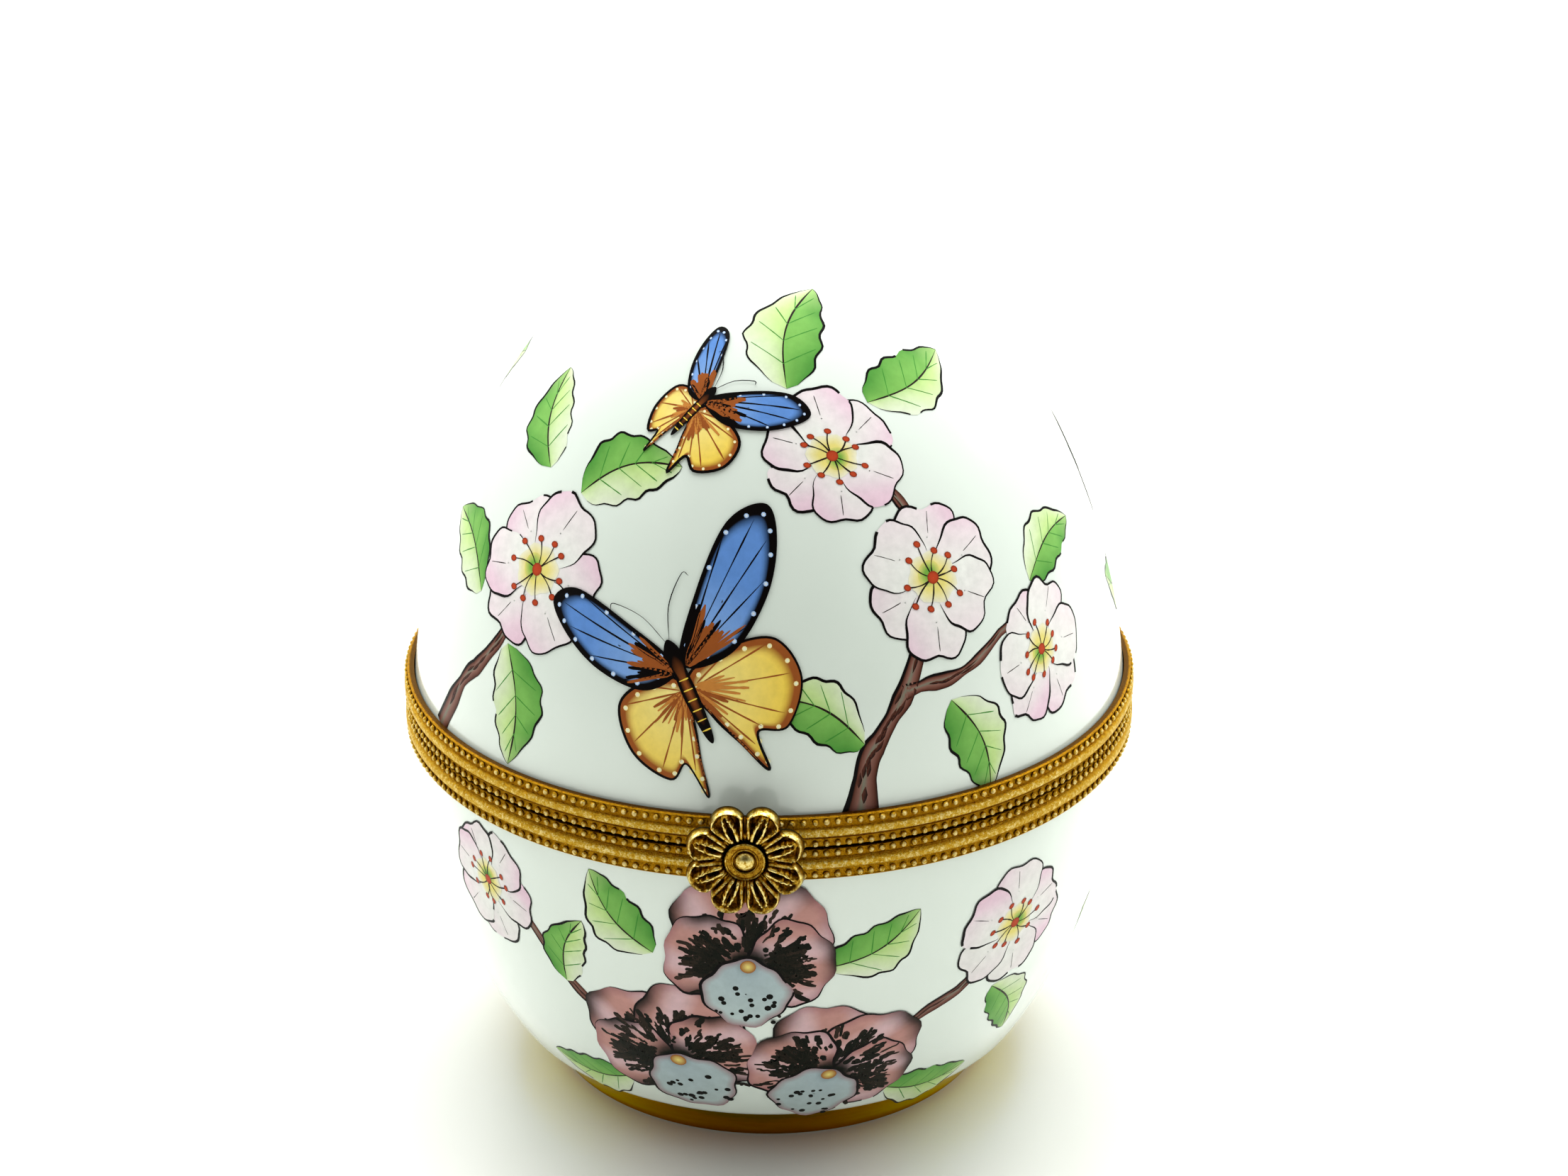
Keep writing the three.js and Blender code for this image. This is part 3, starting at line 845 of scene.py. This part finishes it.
pin_brass = gilt_brass_material(
    "pin_brass", grain_depth=0.01, tones=strip_tones, polish=(0.2, 0.34),
)
pin_half = hinge_length / 2
pin_end = [(0, pin_reach), (pin_radius * 0.7, pin_reach * 0.8), (pin_radius, 0)]
pin_section = [(radius, -pin_half - reach) for radius, reach in pin_end]
pin_section += [(radius, pin_half + reach) for radius, reach in pin_end[::-1]]
place_piece(
    "hinge_drawn_pin", turned_mesh(pin_section, turns=48, place=pin_line @ along_x),
    pin_brass, "base", ["hinge_pin"],
)
for node, body in (("hinge_seat_lower", "base"), ("hinge_seat_upper", "lid")):
    place_brass(node + "_milled", softened_copy(node, 0.1), body, node)

# Painted decoration: garden flowers, leaves and butterflies in fine dark brush lines and thin
# enamel washes, fired over the glaze. Each wash or line is a skin a few thousandths of a millimetre
# above the last, and a place on the shell is degrees round from the clasp and mm from the seam.
painting = {}
profile_hub = 11
profile_end = 0.004
profile_steps = 900
first_coat = 0.012
coat = 0.006
innermost_ring = 0.02
ink = (0.003, 0.002, 0.002)
ink_soft = (0.02, 0.012, 0.01)
petal_white = (0.85, 0.87, 0.83)
petal_pink = (0.78, 0.46, 0.62)
petal_blush = (0.85, 0.68, 0.77)
heart_yellow = (0.82, 0.72, 0.22)
heart_green = (0.18, 0.42, 0.06)
stamen_red = (0.5, 0.06, 0.02)
leaf_pale = (0.56, 0.76, 0.3)
leaf_green = (0.2, 0.48, 0.1)
leaf_deep = (0.06, 0.27, 0.04)
twig_brown = (0.11, 0.035, 0.022)
twig_mauve = (0.24, 0.11, 0.085)
twig_grey = (0.2, 0.2, 0.15)
wing_blue = (0.12, 0.28, 0.68)
wing_sky = (0.3, 0.5, 0.86)
wing_rust = (0.33, 0.09, 0.02)
wing_orange = (0.6, 0.24, 0.05)
wing_yellow = (0.93, 0.66, 0.08)
wing_pale = (0.95, 0.84, 0.32)
dusty_pink = (0.54, 0.28, 0.25)
dusty_mauve = (0.3, 0.12, 0.14)
heart_grey = (0.5, 0.6, 0.58)
heart_blue = (0.36, 0.46, 0.52)
moss_black = (0.004, 0.006, 0.003)
moss_brown = (0.06, 0.035, 0.025)
petals = 6
stamens = 10
leaf_breadth = 0.56
leaf_steps = 26
vein_places = (0.22, 0.4, 0.57, 0.72)
bark_chance = 0.45
pansy_dabs = 120
pansy_spots = 20
line_pitch = 0.4
line_taper = 0.18
swell_knots = 6


def start_painting(shape, side):
    """Takes one shell in hand: empty lists for the brush to fill, and the shell's profile.

    The profile is radius, height and outward direction, by angle seen from a hub on the axis.
    """
    hub = side * profile_hub
    turn = np.linspace(profile_end, pi / 2 - profile_end, profile_steps)
    radius = porcelain_radius * np.cos(turn) ** shape["side_power"]
    height = side * shape["reach"] * np.sin(turn) ** shape["end_power"]
    out = np.stack([np.gradient(height, turn), -np.gradient(radius, turn)], 1) * side
    out /= np.linalg.norm(out, axis=1)[:, None]
    angle = np.arctan2(height - hub, radius)
    order = np.argsort(angle)
    profile = np.stack([radius, height, out[:, 0], out[:, 1]])[:, order]
    painting.update(hub=hub, angle=angle[order], profile=profile,
                    corners=[], faces=[], colours=[], normals=[])


def on_shell(points, lift):
    """Points in mm from the seam's centre, moved onto the shell: places and outward normals."""
    points = np.asarray(points, float)
    spread = np.hypot(points[:, 0], points[:, 1]) + 1e-9
    angle = np.arctan2(points[:, 2] - painting["hub"], spread)
    radius, height, out_radius, out_height = (
        np.interp(angle, painting["angle"], row) for row in painting["profile"]
    )
    towards = points[:, :2] / spread[:, None]
    normals = np.column_stack([towards * out_radius[:, None], out_height])
    places = np.column_stack([towards * radius[:, None], height]) + normals * lift
    return places, normals


def at_place(degrees_round, height):
    """The point of the shell at an angle from the clasp and a height from the seam."""
    radii, heights = painting["profile"][:2]
    order = np.argsort(heights)
    radius = np.interp(height, heights[order], radii[order])
    angle = radians(degrees_round)
    return np.array([radius * sin(angle), -radius * cos(angle), height])


def take_brush(seed, coats):
    """A fresh brush for one motif, which lies a number of coats above the glaze."""
    painting["lift"] = first_coat + coats * coat
    painting["brush"] = np.random.default_rng(seed)
    return painting["brush"]


def set_easel(degrees_round, height, turn, size, squash=1.0):
    """Lays the flat drawing on the shell about one place, turned in degrees and scaled."""
    centre, normal = on_shell([at_place(degrees_round, height)], 0)
    angle = radians(degrees_round)
    east = np.array([cos(angle), sin(angle), 0.0])
    north = np.cross(normal[0], east)
    spin = radians(turn)
    across = east * cos(spin) + north * sin(spin)
    upwards = north * cos(spin) - east * sin(spin)

    def draw(points):
        points = np.asarray(points, float) * (1, squash) * size
        return centre[0] + points[:, :1] * across + points[:, 1:] * upwards

    painting["draw"] = draw


def lay(grid, colours, lift, wrap):
    """Adds a grid of points as one skin of enamel. wrap joins its last column to its first."""
    rows, columns = grid.shape[:2]
    places, normals = on_shell(grid.reshape(-1, 3), lift)
    first = len(painting["corners"])
    painting["corners"] += places.tolist()
    painting["normals"] += normals.tolist()
    painting["colours"] += np.clip(colours.reshape(-1, 3), 0, 1).tolist()
    for row in range(rows - 1):
        near = first + row * columns
        far = near + columns
        for column in range(columns if wrap else columns - 1):
            after = (column + 1) % columns
            corner = [near + column, near + after, far + after, far + column]
            flat = np.array([painting["corners"][index] for index in corner])
            facing = np.cross(flat[2] - flat[0], flat[3] - flat[1])
            if facing @ painting["normals"][corner[0]] < 0:
                corner.reverse()
            painting["faces"].append(corner)


def mix(first, second, part):
    """Blends two colours; part may be an array."""
    part = np.clip(np.asarray(part, float), 0, 1)[..., None]
    return np.asarray(first) * (1 - part) + np.asarray(second) * part


def fade(first, second, gain=1.0, start=0.0, most=1.0):
    """The colours of a wash that turns from one colour in the middle to another at its edge."""
    return lambda points, part: mix(first, second, np.clip(part * gain + start, 0, most))


def wash(outline, colour_at, rings=7, heart=None, over=1):
    """Fills an outline from its middle or heart out, a number of coats over the last wash."""
    outline = np.asarray(outline, float)
    middle = outline.mean(0) if heart is None else np.asarray(heart, float)
    parts = np.linspace(innermost_ring, 1, rings)
    flat = middle + parts[:, None, None] * (outline - middle)
    colours = colour_at(flat, np.broadcast_to(parts[:, None], flat.shape[:2]))
    grid = painting["draw"](flat.reshape(-1, 2)).reshape(rings, -1, 3)
    painting["lift"] += coat * over
    lay(grid, colours, painting["lift"], True)


def full_turn(steps):
    """Angles once round."""
    return np.linspace(0, 2 * pi, steps, endpoint=False)


def oval(angle, across, up):
    """Points of an oval at angles round its middle."""
    return np.stack([across * np.cos(angle), up * np.sin(angle)], 1)


def way_at(angle):
    """A step of one in a direction."""
    return np.array([cos(angle), sin(angle)])


def left_of(way):
    """The way square to another, on its left."""
    return np.array([-way[1], way[0]])


def petal_line(middle, facing, along, across):
    """The outline of a petal about its middle, from its reaches along and across its facing."""
    return middle + along[:, None] * facing + across[:, None] * left_of(facing)


def through(behind, here, ahead, beyond, part):
    """The smooth curve from here to ahead, part of the way along."""
    return 0.5 * (2 * here + (ahead - behind) * part
                  + (2 * behind - 5 * here + 4 * ahead - beyond) * part ** 2
                  + (3 * here - 3 * ahead + beyond - behind) * part ** 3)


def closed_curve(knots, steps=14):
    """A smooth closed curve through knots."""
    behind, here, ahead, beyond = (np.roll(np.asarray(knots, float), shift, 0)
                                   for shift in (1, 0, -1, -2))
    part = np.linspace(0, 1, steps, endpoint=False)[:, None, None]
    return through(behind, here, ahead, beyond, part).transpose(1, 0, 2).reshape(-1, 2)


def open_curve(knots, steps=24):
    """A smooth open curve through knots of any number of values."""
    knots = np.asarray(knots, float)
    padded = np.vstack([2 * knots[0] - knots[1], knots, 2 * knots[-1] - knots[-2]])
    whole = np.linspace(0, len(knots) - 1 - 1e-6, steps)
    start = whole.astype(int)
    return through(*(padded[start + shift] for shift in range(4)), (whole - start)[:, None])


def stroke(points, widths, colours, across=(-1, 1)):
    """A brush stroke along points on the shell. colours has one row for each edge of across."""
    points = np.asarray(points, float)
    places, normals = on_shell(points, 0)
    aside = np.cross(normals, np.gradient(places, axis=0))
    aside /= np.linalg.norm(aside, axis=1)[:, None] + 1e-12
    edges = np.asarray(across, float)
    grid = places[None] + edges[:, None, None] * (aside * widths[:, None] / 2)[None]
    colours = np.broadcast_to(np.asarray(colours, float)[:, None, :], (len(edges), len(points), 3))
    lay(grid, colours, painting["lift"] + coat / 2, False)


def pen(line, width, colour=ink, breaks=0.0, taper=True):
    """A fine line of the brush: its width wanders, it tapers at the ends and may break off."""
    brush = painting["brush"]
    points = painting["draw"](line)
    length = np.linalg.norm(np.diff(points, axis=0), axis=1).sum()
    count = max(8, int(length / line_pitch))
    old = np.linspace(0, 1, len(points))
    new = np.linspace(0, 1, count)
    points = np.stack([np.interp(new, old, points[:, axis]) for axis in range(3)], 1)
    knots = np.linspace(0, 1, swell_knots)
    widths = width * np.interp(new, knots, brush.uniform(0.55, 1.25, swell_knots))
    if taper:
        step = np.arange(count)
        to_end = np.minimum(step + 0.8, count - 0.2 - step)
        widths = widths * np.minimum(1, to_end / (line_taper * count))
    strokes = [slice(None)]
    if brush.random() < breaks and count > 12:
        gap = int(brush.integers(4, count - 6))
        strokes = [slice(gap), slice(gap + 2, None)]
    for part in strokes:
        stroke(points[part], widths[part], [colour, colour])


def paint_petal(base, length, width, direction, notch):
    """One petal: a white to pink wash inside a scalloped line, with a fold or two."""
    brush = painting["brush"]
    angle = full_turn(44)
    phase = brush.uniform(0, 6)
    swell = 1 + 0.035 * np.sin(5 * angle + phase) + 0.025 * np.sin(9 * angle + 2 * phase)
    tip = np.exp(-(np.angle(np.exp(1j * angle)) / 0.26) ** 2)
    long = 0.5 * length * swell * np.cos(angle) * (1 - notch * tip)
    broad = 0.5 * width * swell * np.sin(angle) * (1 + 0.3 * np.cos(angle))
    facing = way_at(direction)
    beside = left_of(facing)
    middle = base + facing * 0.5 * length
    outline = petal_line(middle, facing, long, broad)
    flush = brush.uniform(0.35, 1.0)
    lean = brush.choice([-1, 1])

    def colour_at(points, part):
        out = (points - base) @ facing / length
        side = lean * (points - middle) @ beside / width
        pink = flush * (np.clip(out - 0.3, 0, 1) * 0.6 + np.clip(side + 0.1, 0, 1) * 0.9)
        return mix(mix(petal_white, petal_blush, pink * 1.8), petal_pink, (pink - 0.36) * 1.1)

    wash(outline, colour_at, rings=10)
    pen(np.roll(outline, 18, axis=0)[2:36], 0.24, breaks=0.6)
    fold = np.linspace(0.55, 0.86, 7)[:, None]
    curl = brush.uniform(-0.16, 0.16)
    line = base + facing * fold * length + beside * curl * width * fold ** 2
    pen(line, 0.08, ink_soft)


def paint_flower(degrees_round, height, size, seed, squash=1.0):
    """An open garden flower seen from the front, with a yellow heart and red-tipped stamens."""
    brush = take_brush(seed, coats=4)
    set_easel(degrees_round, height, brush.uniform(0, 360), size, squash)
    for index in brush.permutation(petals):
        direction = 2 * pi * (index + brush.uniform(-0.12, 0.12)) / petals
        length = brush.uniform(0.86, 1.0)
        paint_petal(0.06 * way_at(direction), length, brush.uniform(0.8, 0.92),
                    direction, brush.uniform(0.05, 0.24))
    angle = full_turn(28)
    disc = oval(angle, 0.34, 0.31) * (1 + 0.06 * np.sin(7 * angle)[:, None])
    wash(disc, fade(heart_yellow, petal_white, 1.7, -1.0, 0.8), rings=5)
    patch = oval(angle, 0.15, 0.17) + (-0.07, 0.02)
    wash(patch, fade(heart_green, heart_yellow, 1.5, -0.6, 0.9), rings=4)
    painting["lift"] += coat
    directions = 2 * pi * (np.arange(stamens) + brush.uniform(-0.25, 0.25, stamens)) / stamens
    reaches = brush.uniform(0.32, 0.46, stamens)
    for direction, reach in zip(directions, reaches):
        way = way_at(direction)
        bend = left_of(way) * brush.uniform(-0.05, 0.05)
        part = np.linspace(0.1, 1, 7)[:, None]
        pen(way * reach * part + bend * np.sin(part * pi), 0.13, ink_soft)
    painting["lift"] += coat
    for direction, reach in zip(directions, reaches):
        dot = reach * way_at(direction) + 0.052 * oval(angle[::3], 1, 0.8)
        wash(dot, fade(stamen_red, ink, 1.5, -0.9), rings=3, over=0)
    wash(oval(angle[::2], 0.08, 0.08), fade(stamen_red, ink, 1, -0.6), rings=4, over=0)


def paint_leaf(degrees_round, height, length, turn, seed, bend=0.12):
    """A leaf with one pale half and one deep half, a midrib, side veins and a wavy edge."""
    brush = take_brush(seed, coats=2)
    set_easel(degrees_round, height, turn, length)
    part = np.linspace(0, 1, leaf_steps)
    rib = np.stack([part, bend * np.sin(pi * part)], 1)
    swell = np.sin(pi * part ** 0.82) ** 0.75 * leaf_breadth / 2
    dark_side = brush.choice([-1, 1])
    for side in (-1, 1):
        wave = 1 + 0.07 * np.sin(part * 30 + brush.uniform(0, 6)) * (part < 0.9)
        edge = rib + side * np.stack([-0.12 * swell, swell * wave * brush.uniform(0.9, 1.12)], 1)
        across = np.linspace(0, 1, 6)[:, None, None]
        flat = rib[None] * (1 - across) + edge[None] * across
        deep = np.broadcast_to(across[..., 0], flat.shape[:2])
        if side == dark_side:
            colours = mix(leaf_green, leaf_deep, deep * 0.9 - 0.2 + 0.25 * np.sin(part * 9))
            colours = mix(colours, leaf_pale, (part[None] - 0.72) * 2)
        else:
            colours = mix(leaf_pale, petal_white, deep * 0.5 + 0.2 * np.sin(part * 7))
            colours = mix(colours, leaf_green, 0.4 - deep * 1.4)
        grid = painting["draw"](flat.reshape(-1, 2)).reshape(6, -1, 3)
        lay(grid, colours, painting["lift"], False)
        pen(edge[1:], 0.22, breaks=0.5)
        for vein in vein_places:
            start = int(vein * (leaf_steps - 1))
            way = np.linspace(0, 0.82, 8)[:, None]
            line = rib[start] * (1 - way) + edge[min(start + 5, leaf_steps - 2)] * way
            pen(line, 0.1, leaf_deep)
    pen(rib, 0.17, ink_soft)


def paint_twig(knots, seed):
    """A brown twig through (degrees round, height, width) knots: lit on top, black below."""
    brush = take_brush(seed, coats=0)
    path = open_curve(knots, 16 * (len(knots) - 1))
    along = np.linspace(0, 1, len(path))
    bends = np.linspace(0, 1, 2 * len(knots))
    sway = np.interp(along, bends, brush.normal(0, 0.3, len(bends)))
    path[:, 1] += sway * np.minimum(path[:, 2], 1)
    points = np.array([at_place(*place[:2]) for place in path])
    joints = np.linspace(0, 1, 3 * len(knots))
    widths = path[:, 2] * np.interp(along, joints, brush.uniform(0.78, 1.5, len(joints)))
    tones = [ink, twig_brown, twig_mauve, twig_grey, twig_mauve, twig_brown, ink, ink]
    stroke(points, widths, tones, (-1, -0.78, -0.3, 0.05, 0.3, 0.62, 0.72, 1))
    painting["lift"] += coat / 2
    for index in range(3, len(points) - 6):
        if brush.random() < bark_chance:
            bark = points[index:index + 5] + brush.normal(0, 0.12, 3) * widths[index]
            stroke(bark, widths[index] * np.array([0.02, 0.15, 0.2, 0.11, 0.02]),
                   [ink, twig_brown])


def paint_wing(knots, root, rim, field, glow, mirror):
    """A butterfly's wing: a dark rim, a coloured field that glows at the root, and veins."""
    outline = closed_curve(np.asarray(knots) * (mirror, 1))
    root = np.asarray(root) * (mirror, 1)

    def colour_at(points, part):
        away = np.linalg.norm(points - root, axis=-1)
        return mix(mix(glow, field, away * 1.5), rim, (part - 0.74) * 7)

    wash(outline, colour_at, rings=18, heart=root * 0.25 + outline.mean(0) * 0.75)
    painting["lift"] += coat / 2
    for index in range(4, len(outline) - 4, 12):
        way = np.linspace(0.12, 0.9, 9)[:, None]
        pen(root * (1 - way) + outline[index] * way, 0.14, rim)
    for index in range(3, len(outline), 8):
        spot = outline.mean(0) * 0.12 + outline[index] * 0.88
        spot = spot + 0.018 * oval(np.arange(0, 6.2, 0.9), 1, 1)
        wash(spot, fade(petal_white, glow), rings=2, over=0)
    pen(np.vstack([outline, outline[:1]]), 0.24, taper=False)


def paint_butterfly(degrees_round, height, size, turn, seed, lean=0.75):
    """A butterfly with blue fore wings and yellow and rust hind wings, one pair seen aslant."""
    brush = take_brush(seed, coats=18)
    set_easel(degrees_round, height, turn, size)
    fore = [(0.03, 0.12), (0.3, 0.5), (0.68, 0.86), (0.98, 0.88), (0.94, 0.62), (0.72, 0.3),
            (0.36, 0.06)]
    hind = [(0.03, 0.02), (0.34, 0.1), (0.66, 0.02), (0.72, -0.3), (0.5, -0.56), (0.3, -0.5),
            (0.26, -0.78), (0.17, -0.52), (0.08, -0.28)]
    fore_hair = (0.08, np.linspace(0.15, 1.05, 12), (0.3, 0.52), (0.3, 0.55), 0.6, ink)
    hind_hair = (-0.04, np.linspace(-1.25, -0.1, 10), (0.22, 0.4), (0.16, 0.34), 0.5, wing_orange)
    for mirror in (-lean, 1):
        paint_wing(hind, (0.03, -0.05), wing_rust, wing_yellow, wing_pale, mirror)
        paint_wing(fore, (0.03, 0.1), ink, wing_blue, wing_sky, mirror)
        painting["lift"] += coat
        for start, slopes, reach, width, rusty, other in (fore_hair, hind_hair):
            for slope in slopes:
                way = np.linspace(0.1, 1, 9)[:, None] * brush.uniform(*reach)
                hair = np.array([0.03, start]) + way * (way_at(slope) * (1, 0.9))
                pen(hair * (mirror, 1), brush.uniform(*width),
                    wing_rust if brush.random() < rusty else other)
    body = closed_curve([(0, 0.3), (0.055, 0.22), (0.045, 0.1), (0.05, -0.1), (0.03, -0.36),
                         (0, -0.44), (-0.03, -0.36), (-0.05, -0.1), (-0.045, 0.1), (-0.055, 0.22)])
    wash(body, fade(wing_rust, ink, 1.6), rings=4)
    painting["lift"] += coat
    for band in np.linspace(-0.34, 0.02, 6):
        line = np.stack([np.linspace(-0.032, 0.032, 5), np.full(5, band)], 1)
        pen(line, 0.12, wing_yellow)
    for side in (-1, 1):
        feeler = np.array([(0.01, 0.28), (0.1, 0.5), (0.26, 0.66), (0.3, 0.63)]) * (side, 1)
        pen(open_curve(feeler, 16), 0.09)


def paint_pansy(degrees_round, height, size, turn, seed):
    """A dusty pink pansy: mauve folds, a mossy black throat and a grey-blue spotted lip."""
    brush = take_brush(seed, coats=4 + 9 * (seed % 3))
    set_easel(degrees_round, height, turn, size)
    angle = full_turn(48)
    lobes = ((122, 0.56, 0.62, 0.66), (58, 0.56, 0.62, 0.66), (172, 0.5, 0.6, 0.5),
             (8, 0.5, 0.6, 0.5), (270, 0.4, 0.5, 0.5))
    for lobe in lobes:
        direction, away, broad, tall = lobe
        facing = way_at(radians(direction))
        beside = left_of(facing)
        phase = brush.uniform(0, 6)
        wave = 1 + 0.05 * np.sin(4 * angle + phase) + 0.035 * np.sin(9 * angle - phase)
        outline = petal_line(facing * away, facing, tall * wave * np.cos(angle),
                             broad * wave * np.sin(angle))
        last = lobe == lobes[-1]

        def colour_at(points, part):
            out = np.linalg.norm(points, axis=-1)
            if last:
                colour = mix(heart_grey, heart_blue, 0.8 - out * 0.7)
                colour = mix(colour, dusty_mauve, (part - 0.8) * 4)
                return mix(colour, moss_black, (0.14 - out) * 6)
            colour = mix(dusty_pink, petal_blush, 0.34 * np.sin(points @ beside * 9) + 0.14)
            colour = mix(colour, dusty_mauve, (part - 0.8) * 3)
            shade = np.clip(np.sin(angle * 2 + phase), 0, 1) * (part - 0.62) * 3
            return mix(colour, moss_black, np.maximum((0.4 - out) * 5, shade))

        wash(outline, colour_at, rings=10)
        pen(np.vstack([outline, outline[:1]])[3:46], 0.26, breaks=0.4)
        painting["lift"] += coat / 2
        for _ in range(0 if last else pansy_dabs):
            spread = brush.normal(0, 0.5)
            start = brush.uniform(0.2, 0.66)
            reach = start + brush.uniform(0.05, 0.26)
            stem = np.linspace(start, reach, 5)[:, None]
            line = facing * stem * cos(spread) + beside * stem * sin(spread)
            line = line + brush.normal(0, 0.012, line.shape)
            tint = mix(moss_black, moss_brown, brush.random() ** 2 * (reach - 0.2))
            pen(line, brush.uniform(0.25, 0.65), tint)
        for _ in range(pansy_spots if last else 0):
            place = facing * brush.uniform(0.32, 0.82) + beside * brush.uniform(-0.34, 0.34)
            dot = place + brush.uniform(0.022, 0.042) * oval(angle[::6], 1, 1)
            wash(dot, fade(moss_black, ink), rings=2, over=0)
    wash(oval(angle[::3], 0.09, 0.09), fade(heart_yellow, wing_rust), rings=3)


def finish_painting(name, body):
    """Makes one piece of a painting. Its normals are the shell's, so the glaze runs on over it."""
    mesh = bpy.data.meshes.new(name)
    corners = [(x * MM, y * MM, (z + seam_height) * MM) for x, y, z in painting["corners"]]
    mesh.from_pydata(corners, [], painting["faces"])
    colours = mesh.color_attributes.new("enamel", "FLOAT_COLOR", "POINT")
    colours.data.foreach_set(
        "color", np.column_stack([painting["colours"], np.ones(len(corners))]).ravel()
    )
    place_piece(name, mesh, enamel, body, crease=180)
    mesh.normals_split_custom_set_from_vertices(painting["normals"])


enamel, tree, shader = bare_material("fired_enamel")
brushed_on = new_node(tree, "ShaderNodeVertexColor", layer_name="enamel")["Color"]
pooling = noise_of(tree, scale=1100, detail=3, roughness=0.6)
depth = ranged(tree, pooling, span=(0.3, 0.7), onto=(0.93, 1.05))
feed(tree, shader, {
    "Base Color": vector_maths(tree, "SCALE", {"Vector": brushed_on, "Scale": depth})["Vector"],
    "Roughness": 0.3,
    "Specular IOR Level": 0.06,
})
bump_of(tree, shader, pooling, depth=0.01, strength=0.5)

# Twigs go by knots and seed; leaves by place, length, turn, seed and bend; flowers by place, size,
# seed and squash; butterflies and pansies by place, size, turn and seed. Turns are in degrees.
start_painting(lid_shape, 1)
for knots, seed in (
    ([(17, 2.6, 2.4), (19, 8, 1.8), (25, 13, 1.5), (31, 19, 1.2)], 11),
    ([(25, 13, 1.2), (36, 13.5, 1.0), (50, 17, 0.8)], 12),
    ([(31, 19, 1.0), (31, 27, 0.9), (22, 32, 0.7)], 13),
    ([(-60, 2.6, 1.9), (-53, 10, 1.4), (-46, 14, 1.1), (-40, 21, 0.8)], 14),
):
    paint_twig(knots, seed)
for leaf in ((33, 11.5, 10.5, -70, 21), (18, 9, 10, 152, 22, -0.14), (54, 19, 10, 20, 23),
             (8, 37.5, 11.5, 74, 24), (28, 36, 10.5, 28, 25, -0.12), (-44, 14, 11.5, -80, 26),
             (-54, 17, 10.5, 150, 27, -0.12), (-36, 28, 10.5, 30, 28), (-46, 29, 10, 112, 29)):
    paint_leaf(*leaf)
for flower in ((33, 22, 7.2, 31), (53, 13, 6.6, 32, 0.9), (17, 32.5, 6.8, 33, 0.9),
               (-41, 21, 7.4, 34)):
    paint_flower(*flower)
paint_butterfly(-10, 14.5, 13.5, 28, 41)
paint_butterfly(-14, 36, 7.8, -34, 42, lean=0.55)
# Three sprays cover the sides and the back of the lid.
for turn, seed in ((109, 50), (180, 60), (252, 70)):
    paint_twig([(turn - 12, 2.6, 1.9), (turn - 8, 11, 1.4), (turn, 18, 0.9)], seed)
    paint_leaf(turn - 8, 10, 10.5, 160, seed + 1)
    paint_leaf(turn - 4, 14, 10.5, -28, seed + 2, bend=-0.12)
    paint_leaf(turn + 5, 27, 10.5, 55, seed + 3)
    paint_flower(turn, 21, 7.2, seed + 4)
paint_flower(135, 12, 6.2, 81, squash=0.9)
paint_butterfly(148, 29, 8.5, -15, 82)
paint_butterfly(218, 13, 9, 30, 83)
finish_painting("lid_painting", "lid")

start_painting(bowl_shape, -1)
paint_twig([(-14, -24, 1.3), (-27, -20, 1.1), (-38, -13, 0.8)], 111)
paint_twig([(16, -26, 1.3), (28, -21, 1.1), (41, -17, 0.8)], 112)
for leaf in ((-15, -12, 10, 128, 121), (12, -13, 10.5, 30, 122, -0.12), (-24, -29, 10, 190, 123),
             (26, -30, 10, -10, 124, -0.12), (44, -20, 10, -60, 126), (-32, -18, 8.5, 70, 127)):
    paint_leaf(*leaf)
for pansy in ((-13, -25, 8.6, 16, 132), (14, -26.5, 8.2, -20, 133), (0, -12.5, 8.0, -4, 134)):
    paint_pansy(*pansy)
paint_flower(-47, -10, 6.4, 144, squash=0.9)
paint_flower(46, -13, 6.8, 145, squash=0.95)
# Three sprays cover the sides and the back of the bowl.
for turn, seed in ((100, 150), (180, 160), (260, 170)):
    knots = [(turn - 12, -27, 1.6), (turn - 6, -19, 1.2), (turn + 3, -13, 0.9)]
    paint_twig(knots, seed)
    paint_leaf(turn - 9, -22, 10, 165, seed + 1)
    paint_leaf(turn - 3, -18, 9.5, -40, seed + 2, bend=-0.12)
    paint_flower(turn + 4, -11.5, 6.4, seed + 3)
paint_butterfly(140, -14, 8.5, 20, 181)
paint_pansy(219, -20, 6.6, 10, 182)
finish_painting("bowl_painting", "base")
